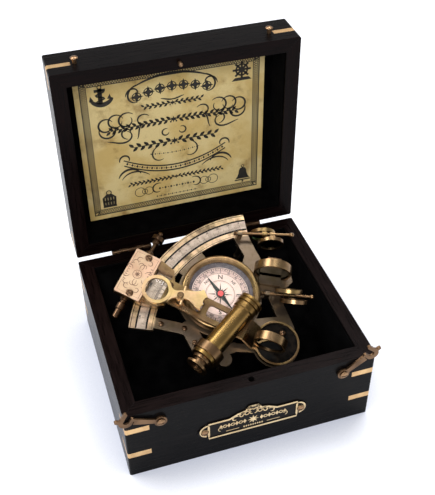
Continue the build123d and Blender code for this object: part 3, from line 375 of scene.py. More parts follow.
@dataclass(frozen=True)
class BrassFinish(Finish):
    """Cast or turned brass with pinkish wear, clouds of brown tarnish, and a brown darkening in hollows and
    near other parts that is part tarnish and part painted shade.

    The inner colour, where there is one, fills the plate inside the limb; it is darker than the limb, part
    the plate's own patina and part painted shade from the parts above it.
    """

    bright: Colour
    pink: Colour
    patina: Colour
    tarnish: float = 0.5
    polish: float = 0.34
    spread: float = 1.0
    inner: Colour | None = None
    inner_r: Pair = (70.0, 71.5)
    bump: float = 0.06
    soften: float = 0.28
    wear: float = 0.05
    fine: float = 4.0

    def shade(self, s: Shader) -> None:
        """Lays clouds of tarnish over two tones of metal, with tarnish and painted shade in hollows and near
        other parts.

        Args:
            s: The empty material.
        """
        mm = s.stretched()
        tone = s.noise(mm, 0.07 * self.spread, 2.0, 0.5)
        clouds = s.noise(mm, 0.11 * self.spread, self.fine, 0.55)
        grit = s.noise(mm, 1.6, 3.0, 0.6)
        metal = s.mix(s.between(tone, 0.36, 0.64), self.bright, self.pink)
        # Darker plate inside the limb: part the plate's own patina, part painted shade from the parts above
        # it.
        if self.inner:
            seat = tuple(value * MM for value in SIZES.seat)
            reach = s.fed("ShaderNodeVectorMath", s.where, seat, operation="DISTANCE")
            limb = s.between(reach.outputs["Value"], *(radius * MM for radius in self.inner_r))
            metal = s.mix(limb, self.inner, metal)
        # Part tarnish in hollows, part painted shade: ambient occlusion pulls hollows and spots close to
        # other parts towards the patina colour.
        hollow_tarnish_and_shade = s.between(s.openness(4.0, 6), 0.40, 0.92, 0.85, 0.0)
        stain = s.maths("MAXIMUM", s.maths("MULTIPLY", s.between(clouds, 0.38, 0.72), self.tarnish), hollow_tarnish_and_shade)
        worn = s.between(grit, 0.3, 0.8, self.polish - self.wear, self.polish + self.wear)
        s.set(base_color=s.mix(stain, metal, self.patina), metallic=1.0,
              roughness=s.maths("ADD", worn, s.maths("MULTIPLY", stain, 0.12)))
        s.relief(grit, 0.05, self.bump, self.soften)


@dataclass(frozen=True)
class VelvetFinish(Finish):
    """Black velvet pile that swallows light."""

    name: str = "black_velvet"

    def shade(self, s: Shader) -> None:
        """Lays the pile.

        Args:
            s: The empty material.
        """
        mm = s.stretched()
        pile = s.noise(mm, 5.5, 4.0, 0.7)
        lay = s.noise(mm, 0.12, 3.0, 0.5)
        colour = s.mix(s.between(lay, 0.35, 0.7), (0.0006, 0.0006, 0.0007), (0.0020, 0.0019, 0.0020))
        s.set(base_color=colour, roughness=1.0, specular_ior_level=0.02)
        s.set(sheen_weight=0.012, sheen_roughness=0.5, sheen_tint=(0.3, 0.3, 0.33))
        s.relief(pile, 0.2, 0.5)


@dataclass(frozen=True)
class PlainFinish(Finish):
    """Paint, ink, silver or another even surface with fine grain."""

    colour: Colour
    other: Colour
    roughness: float = 0.5
    metallic: float = 0.0
    grain_per_mm: float = 0.4
    bump: float = 0.1
    gloss: float = 0.5

    def shade(self, s: Shader) -> None:
        """Lays an even colour with a mottle.

        Args:
            s: The empty material.
        """
        mm = s.stretched()
        mottle = s.noise(mm, self.grain_per_mm, 5.0, 0.6)
        s.set(base_color=s.mix(s.between(mottle, 0.35, 0.68), self.colour, self.other))
        s.set(roughness=self.roughness, metallic=self.metallic, specular_ior_level=self.gloss)
        s.relief(s.noise(mm, 4.0, 2.0), 0.05, self.bump)


@dataclass(frozen=True)
class PaperFinish(Finish):
    """Old parchment with brown stains and a dark worn top edge."""

    pale: Colour = (0.78, 0.62, 0.29)
    tan: Colour = (0.66, 0.47, 0.17)
    stain: Colour = (0.30, 0.17, 0.05)
    singed: Colour = (0.012, 0.008, 0.005)
    top: float = 163.0
    singe: Pair = (2.2, 0.6)

    def shade(self, s: Shader) -> None:
        """Lays stains and fibres on two tones of paper, and a singed top edge.

        Args:
            s: The empty material.
        """
        mm = s.stretched()
        wash = s.noise(mm, 0.035, 4.0, 0.6)
        blot = s.noise(mm, 0.075, 5.0, 0.65)
        fibre = s.noise(mm, 1.4, 3.0, 0.6)
        paper = s.mix(s.between(wash, 0.40, 0.62), self.pale, self.tan)
        paper = s.mix(s.between(blot, 0.52, 0.74, 0.0, 0.75), paper, self.stain)
        paper = s.mix(s.between(fibre, 0.35, 0.75, 0.0, 0.16), paper, self.stain)
        height = s.fed("ShaderNodeSeparateXYZ", s.where).outputs["Z"]
        ragged = s.maths("ADD", height, s.maths("MULTIPLY", s.noise(mm, 0.5, 5.0, 0.7), 4.0 * MM))
        worn = s.between(ragged, *((self.top - below) * MM for below in self.singe))
        s.set(base_color=s.mix(worn, paper, self.singed), roughness=0.72, specular_ior_level=0.2)
        s.relief(fibre, 0.05, 0.2)


@dataclass(frozen=True)
class GlassFinish(Finish):
    """Clear or tinted glass with a little dust, which lets light through to what lies under it."""

    tint: Colour = (0.96, 0.98, 0.97)
    roughness: float = 0.02
    dusty: float = 0.1

    def shade(self, s: Shader) -> None:
        """Lays dust on the glass, and lets the light of the lamps through.

        Args:
            s: The empty material.
        """
        dust = s.noise(s.stretched(), 1.6, 4.0)
        s.set(base_color=self.tint, transmission_weight=1.0, ior=1.2, specular_ior_level=0.2,
              roughness=s.between(dust, 0.5, 0.9, self.roughness, self.roughness + self.dusty))
        clear = s.fed("ShaderNodeBsdfTransparent", self.tint)
        shadow = s.add("ShaderNodeLightPath").outputs["Is Shadow Ray"]
        either = s.fed("ShaderNodeMixShader", shadow, s.skin.outputs[0], clear.outputs[0])
        s.join(either.outputs[0], s.out.inputs["Surface"])


def recipes() -> list[Finish]:
    """Every finish of the object.

    Returns:
        The finishes, in the order in which they are made.
    """
    lid_tones = {"lid": True, "ink": (0.0020, 0.0014, 0.0014), "streak": (0.0052, 0.0034, 0.0032)}
    turned = {"bump": 0.0, "soften": 0.0, "wear": 0.01, "fine": 2.0}
    barrel = {"bump": 0.0, "soften": 0.0, "wear": 0.0, "fine": 1.0}
    return [
        WoodFinish("wood_x", Grain.X),
        WoodFinish("wood_y", Grain.Y),
        WoodFinish("wood_lid_x", Grain.X, **lid_tones),
        WoodFinish("wood_lid_z", Grain.Z, **lid_tones),
        VelvetFinish(),
        BrassFinish("key_brass", (0.74, 0.50, 0.25), (0.68, 0.44, 0.22), (0.38, 0.23, 0.10), 0.4, 0.46, 2.0),
        BrassFinish("hook_brass", (0.22, 0.13, 0.07), (0.17, 0.10, 0.055), (0.06, 0.035, 0.022), 0.6, 0.40),
        BrassFinish("box_brass", (0.36, 0.22, 0.12), (0.30, 0.18, 0.10), (0.12, 0.07, 0.04), 0.5, 0.36, 2.0),
        BrassFinish("plate_brass", (0.88, 0.70, 0.42), (0.80, 0.60, 0.34), (0.45, 0.30, 0.14), 0.35, 0.46),
        BrassFinish("frame_brass", (0.70, 0.50, 0.28), (0.60, 0.42, 0.28), (0.13, 0.095, 0.055), 0.9, 0.34,
                    1.6, (0.18, 0.132, 0.092)),
        BrassFinish("cup_brass", (0.38, 0.25, 0.12), (0.30, 0.19, 0.10), (0.08, 0.045, 0.024), 0.7, 0.28,
                    **turned),
        BrassFinish("block_brass", (0.62, 0.46, 0.30), (0.64, 0.42, 0.29), (0.38, 0.21, 0.12), 0.4, 0.44),
        BrassFinish("arm_brass", (0.32, 0.215, 0.09), (0.28, 0.175, 0.09), (0.08, 0.045, 0.019), 0.7, 0.30),
        BrassFinish("tail_brass", (0.78, 0.57, 0.25), (0.78, 0.53, 0.30), (0.36, 0.22, 0.07), 0.6, 0.34),
        BrassFinish("tube_brass", (0.40, 0.25, 0.08), (0.30, 0.18, 0.06), (0.09, 0.05, 0.017), 0.6, 0.26, 0.8,
                    **barrel),
        BrassFinish("draw_brass", (0.28, 0.175, 0.085), (0.22, 0.13, 0.065), (0.08, 0.045, 0.024), 0.5, 0.30,
                    **turned),
        BrassFinish("dark_brass", (0.17, 0.10, 0.055), (0.13, 0.075, 0.042), (0.04, 0.022, 0.013), 0.6, 0.30),
        PlainFinish("silvered", (0.54, 0.43, 0.34), (0.36, 0.28, 0.22), 0.40, 0.7, 0.3),
        PaperFinish("parchment"),
        PlainFinish("sepia_ink", (0.008, 0.007, 0.005), (0.020, 0.015, 0.009), 0.7),
        PlainFinish("dial_paint", (0.60, 0.43, 0.37), (0.52, 0.36, 0.31), 0.45, 0.0, 0.12),
        PlainFinish("dial_ink", (0.030, 0.024, 0.024), (0.05, 0.04, 0.038), 0.6),
        PlainFinish("engraving", (0.13, 0.065, 0.035), (0.20, 0.10, 0.055), 0.6),
        # Violet paint of the compass well, made darker with painted shade from the bezel over it.
        PlainFinish("well_paint_and_shade", (0.070, 0.055, 0.062), (0.11, 0.09, 0.095), 0.4),
        PlainFinish("needle_paint", (0.008, 0.012, 0.010), (0.014, 0.020, 0.016), 0.3),
        PlainFinish("red_paint", (0.46, 0.05, 0.045), (0.38, 0.035, 0.035), 0.35),
        PlainFinish("card_band", (0.46, 0.31, 0.27), (0.38, 0.25, 0.22), 0.5, 0.0, 0.5),
        # Black paint on the name plate; on the limb the same black is painted shade.
        PlainFinish("black_paint_and_shade", (0.005, 0.004, 0.004), (0.010, 0.008, 0.007), 0.4, gloss=0.1),
        # Glossy black painted on the index arm's disc: a painted reflection of the dark velvet seen in the
        # mirror.
        PlainFinish("disc_painted_reflection", (0.003, 0.003, 0.003), (0.012, 0.009, 0.007), 0.12, 0.0, 0.3, 0.1, 0.04),
        GlassFinish("clear_glass"),
        GlassFinish("green_glass", (0.10, 0.22, 0.11)),
        GlassFinish("smoke_glass", (0.04, 0.05, 0.04)),
        # Mirror silver darkened to green-grey: a painted reflection of the dark things round the mirrors.
        PlainFinish("mirror_with_painted_reflection", (0.065, 0.072, 0.066), (0.045, 0.05, 0.045), 0.05, 1.0, 0.05, 0.02),
    ]


class Finishes:
    """Every finish of the object, made once and given out by name."""

    def __init__(self) -> None:
        """Builds all the materials."""
        self._made: dict[str, bpy.types.Material] = {recipe.name: recipe.build() for recipe in recipes()}
        log.info("%d finishes", len(self._made))

    def __getitem__(self, name: str) -> bpy.types.Material:
        """The finished material of that name."""
        return self._made[name]


# ---------------------------------------------------------------- the solids
@dataclass(frozen=True)
class Dresser:
    """Gives each solid of the frame its finish."""

    FINISHED: ClassVar[dict[str, str]] = {
        "wood_x": "case_bottom case_front case_back",
        "wood_y": "case_left case_right",
        "wood_lid_x": "lid_front lid_back lid_top",
        "wood_lid_z": "lid_left lid_right",
        "black_velvet": "case_lining velvet_rest lid_lining",
        "key_brass": "case_keys lid_keys",
        "black_paint_and_shade": "name_plate",
        "box_brass": "case_screws lid_screws",
        "hook_brass": "left_hook right_hook",
        "parchment": "lid_label",
        "frame_brass": "frame legs",
        # The hinge leaves take dark brass partly as painted shade of the gap between lid and case; the
        # screws, bracket and tangent screw are dark brass of their own.
        "dark_brass": "case_leaves lid_leaves frame_screws horizon_bracket arm_screws tangent_screw",
        "silvered": "limb_scale vernier_scale",
        "well_paint_and_shade": "compass_case",
        "dial_paint": "compass_dial",
        "needle_paint": "needle",
        "clear_glass": "compass_glass objective_lens eye_lens magnifier_lens",
        "tube_brass": "scope_tube",
        "draw_brass": "scope_holder drawtube shade_bars",
        "cup_brass": "horizon_cup shade_ring_2 shade_ring_4 index_cup",
        "arm_brass": "compass_bezel shade_ring_1 shade_ring_3 index_arm pivot_axle vernier_block",
        "mirror_with_painted_reflection": "horizon_glass index_glass",
        "green_glass": "shade_glass_1",
        "smoke_glass": "shade_glass_2 shade_glass_3 shade_glass_4",
        "block_brass": "cover_plate",
        "tail_brass": "magnifier_arm",
    }
    scale_rim: float = 0.6
    scale_depth: Pair = (-0.6, -0.05)
    mirror_r: float = 12.0
    mirror_z: Pair = (3.2, 3.6)

    def dress(self, nodes: dict[str, bpy.types.Object], finishes: Finishes) -> None:
        """Puts the finishes on the frame's solids.

        Args:
            nodes: The frame's objects by name.
            finishes: Where the materials come from.
        """
        for finish, names in self.FINISHED.items():
            for name in names.split():
                for slot in nodes[name].material_slots:
                    slot.material = finishes[finish]
                log.info("%s: %s", name, finish)
        # Painted shade: the groove round the silver scale is painted black for the shade that falls in it.
        paint(nodes["frame"], finishes["black_paint_and_shade"], SEAT, self._in_scale_groove)
        # Painted reflection: the floor of the disc under the index mirror is glossy black, standing for the
        # dark velvet that the mirror shows.
        paint(nodes["index_arm"], finishes["disc_painted_reflection"], SEAT, self._on_mirror_disc)

    def _in_scale_groove(self, r: float, z: float) -> bool:
        """Whether a spot of the limb lies in the groove round the silver scale."""
        within = SIZES.scale_in - self.scale_rim < r < SIZES.scale_out + self.scale_rim
        return within and self.scale_depth[0] < z < self.scale_depth[1]

    def _on_mirror_disc(self, r: float, z: float) -> bool:
        """Whether a spot of the arm lies on the disc that the index mirror stands on."""
        return r < self.mirror_r and self.mirror_z[0] < z < self.mirror_z[1]


# ---------------------------------------------------------------- making pieces
# For letters one millimetre high: the font's size, how far their strokes swell, and how near two
# corners of their outline lie when they are one.
GLYPH_SCALE = 1.4
GLYPH_SWELL = 0.035
GLYPH_MERGE = 1e-4


@dataclass(frozen=True)
class Layer:
    """Flat work of one thickness: the mesh it goes into, the frame it lies on and its two heights."""

    mesh: bmesh.types.BMesh
    place: Place
    low: float
    high: float
    bold: float = 1.0

    def moved(self, x: float, y: float) -> "Layer":
        """The same layer round another point."""
        return replace(self, place=self.place.moved(x, y))

    def turned(self, degrees: float) -> "Layer":
        """The same layer turned in its plane."""
        return replace(self, place=self.place.turned(degrees))

    def slab(self, outline: list[Point]) -> None:
        """Adds a prism.

        Args:
            outline: Its closed outline, in millimetres, either way round.
        """
        area = sum(a[0] * b[1] - b[0] * a[1] for a, b in zip(outline, outline[1:] + outline[:1]))
        if area < 0:
            outline = outline[::-1]
        lower, upper = ([self.mesh.verts.new(self.place.at(x, y, z)) for x, y in outline]
                        for z in (self.low, self.high))
        self.mesh.faces.new(upper)
        self.mesh.faces.new(lower[::-1])
        for index in range(len(outline)):
            self.mesh.faces.new((lower[index - 1], lower[index], upper[index], upper[index - 1]))

    def dot(self, x: float, y: float, radius: float, steps: int = 14) -> None:
        """Adds a round disc."""
        self.slab(circle(x, y, radius, steps))

    def stroke(self, path: list[Point], width: float, closed: bool = False, taper: float = 1.0) -> None:
        """Adds a flat line along a path.

        Args:
            path: Points in millimetres.
            width: Width at the middle of the line.
            closed: Whether the last point joins the first.
            taper: Width at the two ends as a share of the width at the middle.
        """
        count, stations = len(path), []
        for index, (x, y) in enumerate(path):
            before = path[index - 1] if index or closed else path[0]
            after = path[(index + 1) % count] if index < count - 1 or closed else path[-1]
            run = Vector((after[0] - before[0], after[1] - before[1])).normalized()
            swell = taper + (1 - taper) * max(math.sin(math.pi * index / max(count - 1, 1)), 0.0) ** 0.7
            side = Vector((-run.y, run.x)) * width * (1.0 if closed else swell) / 2
            left, right = (x + side.x, y + side.y), (x - side.x, y - side.y)
            corners = (right, self.low), (left, self.low), (left, self.high), (right, self.high)
            stations.append([self.mesh.verts.new(self.place.at(*end, z)) for end, z in corners])
        for index in range(0 if closed else 1, count):
            one, two = stations[index - 1], stations[index]
            for corner in range(4):
                self.mesh.faces.new((one[corner - 1], one[corner], two[corner], two[corner - 1]))
        if not closed:
            self.mesh.faces.new(stations[0][::-1])
            self.mesh.faces.new(stations[-1])

    def pen(self, path: list[Point], width: float, closed: bool = False, taper: float = 0.25) -> None:
        """Adds a line as bold as the layer's pen, thin at its ends unless told otherwise."""
        self.stroke(path, width * self.bold, closed, taper)

    def ring(self, x: float, y: float, radius: float, width: float, steps: int = 48) -> None:
        """Adds a flat circular line."""
        self.stroke(circle(x, y, radius, steps), width, closed=True)

    def lozenge(self, x: float, y: float, wide: float, tall: float) -> None:
        """Adds a four-cornered diamond."""
        self.slab([(x + wide / 2, y), (x, y + tall / 2), (x - wide / 2, y), (x, y - tall / 2)])

    def star(self, x: float, y: float, outer: float, inner: float, rays: int) -> None:
        """Adds a pointed star with its first ray along the frame's y.

        Args:
            x: Middle of the star.
            y: The same along the frame's y.
            outer: Radius of the points.
            inner: Radius of the notches between them.
            rays: Number of points.
        """
        outline = []
        for step in range(2 * rays):
            reach, turn = (inner if step % 2 else outer), math.pi * (0.5 + step / rays)
            outline.append((x + reach * math.cos(turn), y + reach * math.sin(turn)))
        self.slab(outline)

    def sign(self, text: str, size: float) -> None:
        """Adds digits or compass letters centred on the frame's origin, upright along its y.

        Args:
            text: What it says.
            size: Height of a digit in millimetres.
        """
        data = bpy.data.curves.new("sign", "FONT")
        data.body, data.size, data.resolution_u = text, size * GLYPH_SCALE, 3
        data.align_x, data.align_y, data.offset = "CENTER", "CENTER", size * GLYPH_SWELL
        made = bpy.data.objects.new("sign", data)
        bpy.context.scene.collection.objects.link(made)
        bpy.context.view_layer.update()
        flat = bpy.data.meshes.new_from_object(made)
        glyphs = bmesh.new()
        glyphs.from_mesh(flat)
        bmesh.ops.remove_doubles(glyphs, verts=glyphs.verts, dist=GLYPH_MERGE)
        bmesh.ops.recalc_face_normals(glyphs, faces=glyphs.faces)
        low, high = self.low, self.high
        swap = {(corner, z): self.mesh.verts.new(self.place.at(corner.co.x, corner.co.y, z))
                for z in (low, high) for corner in glyphs.verts}
        for face in glyphs.faces:
            loop = list(face.verts) if face.normal.z > 0 else list(face.verts)[::-1]
            self.mesh.faces.new([swap[corner, high] for corner in loop])
            self.mesh.faces.new([swap[corner, low] for corner in loop[::-1]])
            for one, two in zip(loop, loop[1:] + loop[:1]):
                if len(glyphs.edges.get((one, two)).link_faces) == 1:
                    self.mesh.faces.new((swap[one, low], swap[two, low], swap[two, high], swap[one, high]))
        glyphs.free()
        bpy.data.objects.remove(made)
        bpy.data.curves.remove(data)
        bpy.data.meshes.remove(flat)


class Piece:
    """One piece of the object, gathered from thin closed solids and riding on a body."""

    def __init__(self, name: str, body: str, finish: bpy.types.Material) -> None:
        """Starts an empty piece.

        Args:
            name: Name of the finished object.
            body: Body that it moves with.
            finish: Its material.
        """
        self.name, self.body, self.finish = name, body, finish
        self.mesh = bmesh.new()

    def layer(self, place: Place, low: float, thick: float, bold: float = 1.0) -> Layer:
        """A layer of this piece on a frame, from a height and of a thickness in millimetres."""
        return Layer(self.mesh, place, low, low + thick, bold)

    def done(self) -> bpy.types.Object:
        """Makes the object and sets it on its body.

        Returns:
            The finished object.
        """
        bmesh.ops.recalc_face_normals(self.mesh, faces=self.mesh.faces)
        mesh = bpy.data.meshes.new(self.name)
        self.mesh.to_mesh(mesh)
        self.mesh.free()
        mesh.materials.append(self.finish)
        made = bpy.data.objects.new(self.name, mesh)
        bpy.context.scene.collection.objects.link(made)
        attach(made, self.body)
        log.info("%s: %d faces on %s", self.name, len(mesh.polygons), self.body)
        return made


def paint(node: bpy.types.Object, finish: bpy.types.Material, place: Place,
          where: Callable[[float, float], bool]) -> None:
    """Gives some faces of a solid another finish.

    Args:
        node: The solid.
        finish: The other material.
        place: Frame on which the faces are chosen.
        where: Whether a face is painted, by its radius and its height on that frame.
    """
    node.data.materials.append(finish)
    for face in node.data.polygons:
        off = face.center / MM - place.origin
        if where(math.hypot(off.dot(place.x), off.dot(place.y)), off.dot(place.z)):
            face.material_index = len(node.data.materials) - 1


def polar(radius: float, degrees: float) -> Point:
    """Point at a radius and direction."""
    return radius * math.cos(math.radians(degrees)), radius * math.sin(math.radians(degrees))


def circle(x: float, y: float, radius: float, steps: int) -> list[Point]:
    """Corners of a many-sided round outline."""
    turns = [2 * math.pi * step / steps for step in range(steps)]
    return [(x + radius * math.cos(turn), y + radius * math.sin(turn)) for turn in turns]


def curl(start: Point, heading: float, length: float, bend: float, bend_end: float,
         steps: int = 26) -> list[Point]:
    """A penman's curve whose bend changes evenly along it.

    Args:
        start: First point, in millimetres.
        heading: Direction at the start, in degrees.
        length: Length of the line.
        bend: Degrees it turns per millimetre at the start.
        bend_end: The same at the end.
        steps: Number of short runs.

    Returns:
        The points of the line.
    """
    (x, y), path, run = start, [start], length / steps
    for step in range(steps):
        turn = run * (bend + (bend_end - bend) * (step + 0.5) / steps) / 2
        across, along = polar(run, heading + turn)
        x, y, heading = x + across, y + along, heading + 2 * turn
        path.append((x, y))
    return path


def paired(path: list[Point]) -> tuple[list[Point], list[Point]]:
    """A path and its mirror image in x = 0."""
    return path, [(-x, y) for x, y in path]


# ---------------------------------------------------------------- label in the lid
@dataclass
class LidLabel:
    """Printed ornament on the paper inside the lid: border, corner emblems, scrolls and rows of marks."""

    finishes: Finishes
    place: Place = Place(Vector((0, 84.25, 111.5)), ACROSS, FORWARD)
    half_w: float = 56.5
    half_h: float = 50.0
    ink_h: float = 0.03
    bold: float = 2.0
    frieze_in: float = 3.4
    frieze_w: float = 3.6
    frieze_rules: Pair = (0.5, 0.35)
    plait_pitch: float = 1.5
    plait_w: float = 0.46
    stem_w: float = 0.32
    leaf_turn: float = 42.0
    berry_r: float = 0.16
    berry_gap: float = 0.42
    ink: Layer = field(init=False)

    def build(self) -> None:
        """Prints the whole label."""
        sheet = Piece("label_print", "lid", self.finishes["sepia_ink"])
        self.ink = sheet.layer(self.place, 0.0, self.ink_h, self.bold)
        self._frieze()
        self._anchor(self.ink.moved(-41.8, 36.5))
        self._helm(self.ink.moved(42.4, 38.6))
        self._lantern(self.ink.moved(-43.2, -36.2))
        self._bell(self.ink.moved(43.6, -35.2))
        self._scrolls()
        self._rows()
        sheet.done()

    def _frieze(self) -> None:
        """Plaited band between fine lines round the label."""
        for inset, width in zip((self.frieze_in, self.frieze_in + self.frieze_w), self.frieze_rules):
            self.ink.pen(self._corners(inset), width, closed=True)
        corners = self._corners(self.frieze_in + self.frieze_w / 2)
        reach = self.frieze_w / 2 - self.frieze_rules[1]
        for (x1, y1), (x2, y2) in zip(corners, corners[1:] + corners[:1]):
            length = math.hypot(x2 - x1, y2 - y1)
            turns = round(length / self.plait_pitch)
            run = ((x2 - x1) / length, (y2 - y1) / length)
            for side in (-1, 1):
                path = []
                for step in range(turns + 1):
                    along, off = length * step / turns, side * reach * (1 if step % 2 else -1)
                    path.append((x1 + run[0] * along - run[1] * off, y1 + run[1] * along + run[0] * off))
                self.ink.pen(path, self.plait_w, taper=1.0)

    def _corners(self, inset: float) -> list[Point]:
        """Corners of the label, moved in from its edges."""
        x, y = self.half_w - inset, self.half_h - inset
        return [(-x, -y), (x, -y), (x, y), (-x, y)]

    @staticmethod
    def _anchor(ink: Layer) -> None:
        """Anchor with a cable round its shank.

        Args:
            ink: Layer of the print, round the middle of the emblem.
        """
        ink.pen([(0, 4.6), (0, -5.2)], 1.3, taper=1.0)
        ink.ring(0, 5.6, 1.1, 0.6, 20)
        ink.pen([(-3.2, 3.4), (3.2, 3.4)], 0.9, taper=1.0)
        ink.pen(curl((-5.6, -2.0), -62, 15.4, 8.0, 8.0), 1.5, taper=0.4)
        for fluke in paired([(6.6, -3.0), (5.6, 0.6), (3.9, -2.4)]):
            ink.slab(fluke)
        ink.pen([(2.6 * math.sin(step * 0.9), 3.6 - step * 0.62) for step in range(15)], 0.55, taper=0.6)

    @staticmethod
    def _helm(ink: Layer) -> None:
        """Ship's wheel on a stand.

        Args:
            ink: Layer of the print, round the middle of the emblem.
        """
        ink.ring(0, 0, 3.5, 1.1, 32)
        ink.dot(0, 0, 1.2)
        for step in range(8):
            ink.pen([polar(1.0, 45 * step), polar(5.6, 45 * step)], 0.75, taper=0.9)
        ink.slab([(-6.2, -7.0), (6.2, -7.0), (4.2, -5.0), (-4.2, -5.0)])

    @staticmethod
    def _lantern(ink: Layer) -> None:
        """Ship's lantern with a cage and a handle.

        Args:
            ink: Layer of the print, round the middle of the emblem.
        """
        ink.slab([(-4.4, -5.6), (4.4, -5.6), (4.0, -3.8), (-4.0, -3.8)])
        ink.slab([(-4.2, 1.8), (4.2, 1.8), (1.6, 4.4), (-1.6, 4.4)])
        for step in range(5):
            across = -3.4 + 1.7 * step
            ink.pen([(across, -4.0), (across * 1.06, 2.0)], 0.75, taper=1.0)
        ink.pen([(-3.9, -1.0), (3.9, -1.0)], 0.7, taper=1.0)
        ink.ring(0, 5.4, 1.5, 0.6, 20)

    @staticmethod
    def _bell(ink: Layer) -> None:
        """Hanging bell.

        Args:
            ink: Layer of the print, round the middle of the emblem.
        """
        left = [(0.0, 4.4), (-1.6, 4.0), (-2.4, 2.4), (-2.7, 0.0), (-3.4, -2.2), (-4.8, -4.2)]
        ink.slab(left + [(-x, y) for x, y in left[:0:-1]])
        ink.slab([(-5.2, -5.6), (5.2, -5.6), (5.2, -4.7), (-5.2, -4.7)])
        ink.dot(0, -6.4, 0.7)
        ink.ring(0, 5.4, 0.9, 0.5, 16)

    def _scrolls(self) -> None:
        """Penman's scrolls round the rows, each with its mirror image."""
        self.ink.pen([(x, 44.0 - 0.0105 * x * x) for x in range(-24, 25, 2)], 0.8)
        for width, *scroll in (
            (0.60, (20.5, 40.0), -22, 17, -4.0, -16.0), (0.55, (27.5, 33.0), 100, 13, 6.0, 26.0),
            (0.50, (7.0, 28.5), -170, 9.0, 6.0, -14.0), (0.60, (24.0, 21.5), 40, 26, -9.5, -17.0),
            (0.55, (30.0, 19.5), 70, 25, -12.0, -15.0), (0.60, (36.5, 18.5), 60, 24, -12.5, -15.0),
            (0.60, (44.0, 15.5), -60, 21, -11.0, -13.0), (0.60, (40.5, 5.5), 190, 22, 5.0, -22.0),
            (0.55, (28.0, 5.0), 10, 15, 11.0, 26.0), (0.50, (4.0, 7.6), 20, 11, -22.0, -30.0),
            (0.50, (14.5, 18.5), 45, 14, -10.0, -24.0), (0.50, (10.0, -3.6), -20, 17, -8.0, -15.0),
            (0.50, (22.5, 4.0), 120, 13, -10.0, 20.0), (0.60, (34.5, -10.5), 80, 12, 14.0, 24.0),
            (0.75, (36.0, -22.0), 110, 18, 6.5, 9.0), (0.55, (34.0, -23.5), 118, 20, 7.5, 3.0),
            (0.50, (10.0, -31.0), 20, 14, -12.0, -22.0),
        ):
            for path in paired(curl(*scroll)):
                self.ink.pen(path, width)
        for across, reach in ((18.0, 2.8), (23.6, 3.3), (20.6, 1.7)):
            for side in (-1, 1):
                self.ink.ring(side * across, -35.0, reach, 0.42, 28)

    def _leaf(self, x: float, y: float, length: float, heading: float) -> None:
        """Pointed leaf that grows from a point.

        Args:
            x: Foot of the leaf.
            y: The same up the label.
            length: From foot to tip.
            heading: Direction of the tip, in degrees.
        """
        (ax, ay), (nx, ny) = polar(length, heading), polar(0.24 * length, heading + 90)
        edge = [(0.25, 0.8), (0.5, 1.0), (0.78, 0.6)]
        sides = [(0.0, 0.0), *edge, (1.0, 0.0), *[(a, -n) for a, n in edge[::-1]]]
        self.ink.slab([(x + ax * a + nx * n, y + ay * a + ny * n) for a, n in sides])

    def _garland(self, half: float, y: float, bow: float, leaf: float, pitch: float,
                 berries: bool = True) -> None:
        """Row of leaves on a stem, growing out from the middle.

        Args:
            half: Half of the row's length.
            y: Height of the stem at its middle.
            bow: How far the row's ends drop, or rise if negative.
            leaf: Length of a leaf.
            pitch: Distance between leaves.
            berries: Whether a berry sits across from each leaf.
        """
        count, shares = int(half / pitch), [step / 20 for step in range(21)]
        for side in (-1, 1):
            self.ink.pen([(side * half * t, y - bow * t * t) for t in shares], self.stem_w, taper=0.7)
            heading = self.leaf_turn if side > 0 else 180 - self.leaf_turn
            for step in range(1, count + 1):
                x = half * step / count
                here = y - bow * (x / half) ** 2
                up = 1 if step % 2 else -1
                self._leaf(side * x, here, leaf, up * heading)
                if berries:
                    self.ink.dot(side * x, here - up * self.berry_gap * leaf, self.berry_r * leaf, 8)
        self.ink.star(0, y, 0.62 * leaf, 0.26 * leaf, 6)

    def _beads(self, half: float, y: float, bow: float, tall: float, pitch: float) -> None:
        """Row of lozenges with a dot between them.

        Args:
            half: Half of the row's length.
            y: Height of the row at its middle.
            bow: How far the row's ends drop, or rise if negative.
            tall: Height of a lozenge.
            pitch: Distance between the marks.
        """
        count = int(2 * half / pitch)
        for step in range(count + 1):
            x = -half + 2 * half * step / count
            here = y - bow * (x / half) ** 2
            if step % 2:
                self.ink.dot(x, here, 0.2 * tall, 8)
            else:
                self.ink.lozenge(x, here, 0.8 * tall, tall)

    def _rows(self) -> None:
        """Rows of ornament, from the arched heading to the foot."""
        for step in range(-3, 4):
            x = 7.0 * step
            y = 35.6 - 0.0082 * x * x
            self.ink.star(x, y, 4.0, 1.5, 4)
            self.ink.ring(x, y, 2.6, 0.6, 20)
        self._garland(17.0, 24.6, 0.0, 2.8, 1.5)
        self._garland(38.0, 13.4, 1.2, 3.7, 1.7)
        self._garland(25.0, -1.6, 0.0, 4.2, 2.2)
        self._beads(15.0, -9.6, -1.2, 1.3, 1.3)
        for foot in (-22.5, -18.7):
            self.ink.pen([(x, foot + 9.4 * (x / 32.5) ** 2) for x in range(-32, 33, 2)], 0.5, taper=0.8)
        self._beads(30.0, -20.6, -8.2, 2.0, 1.5)
        self._garland(29.0, -28.0, 0.0, 2.5, 1.3, False)
        self._beads(11.0, -34.8, 0.0, 2.0, 1.7)
        self._beads(13.0, -40.6, 0.0, 1.4, 1.2)


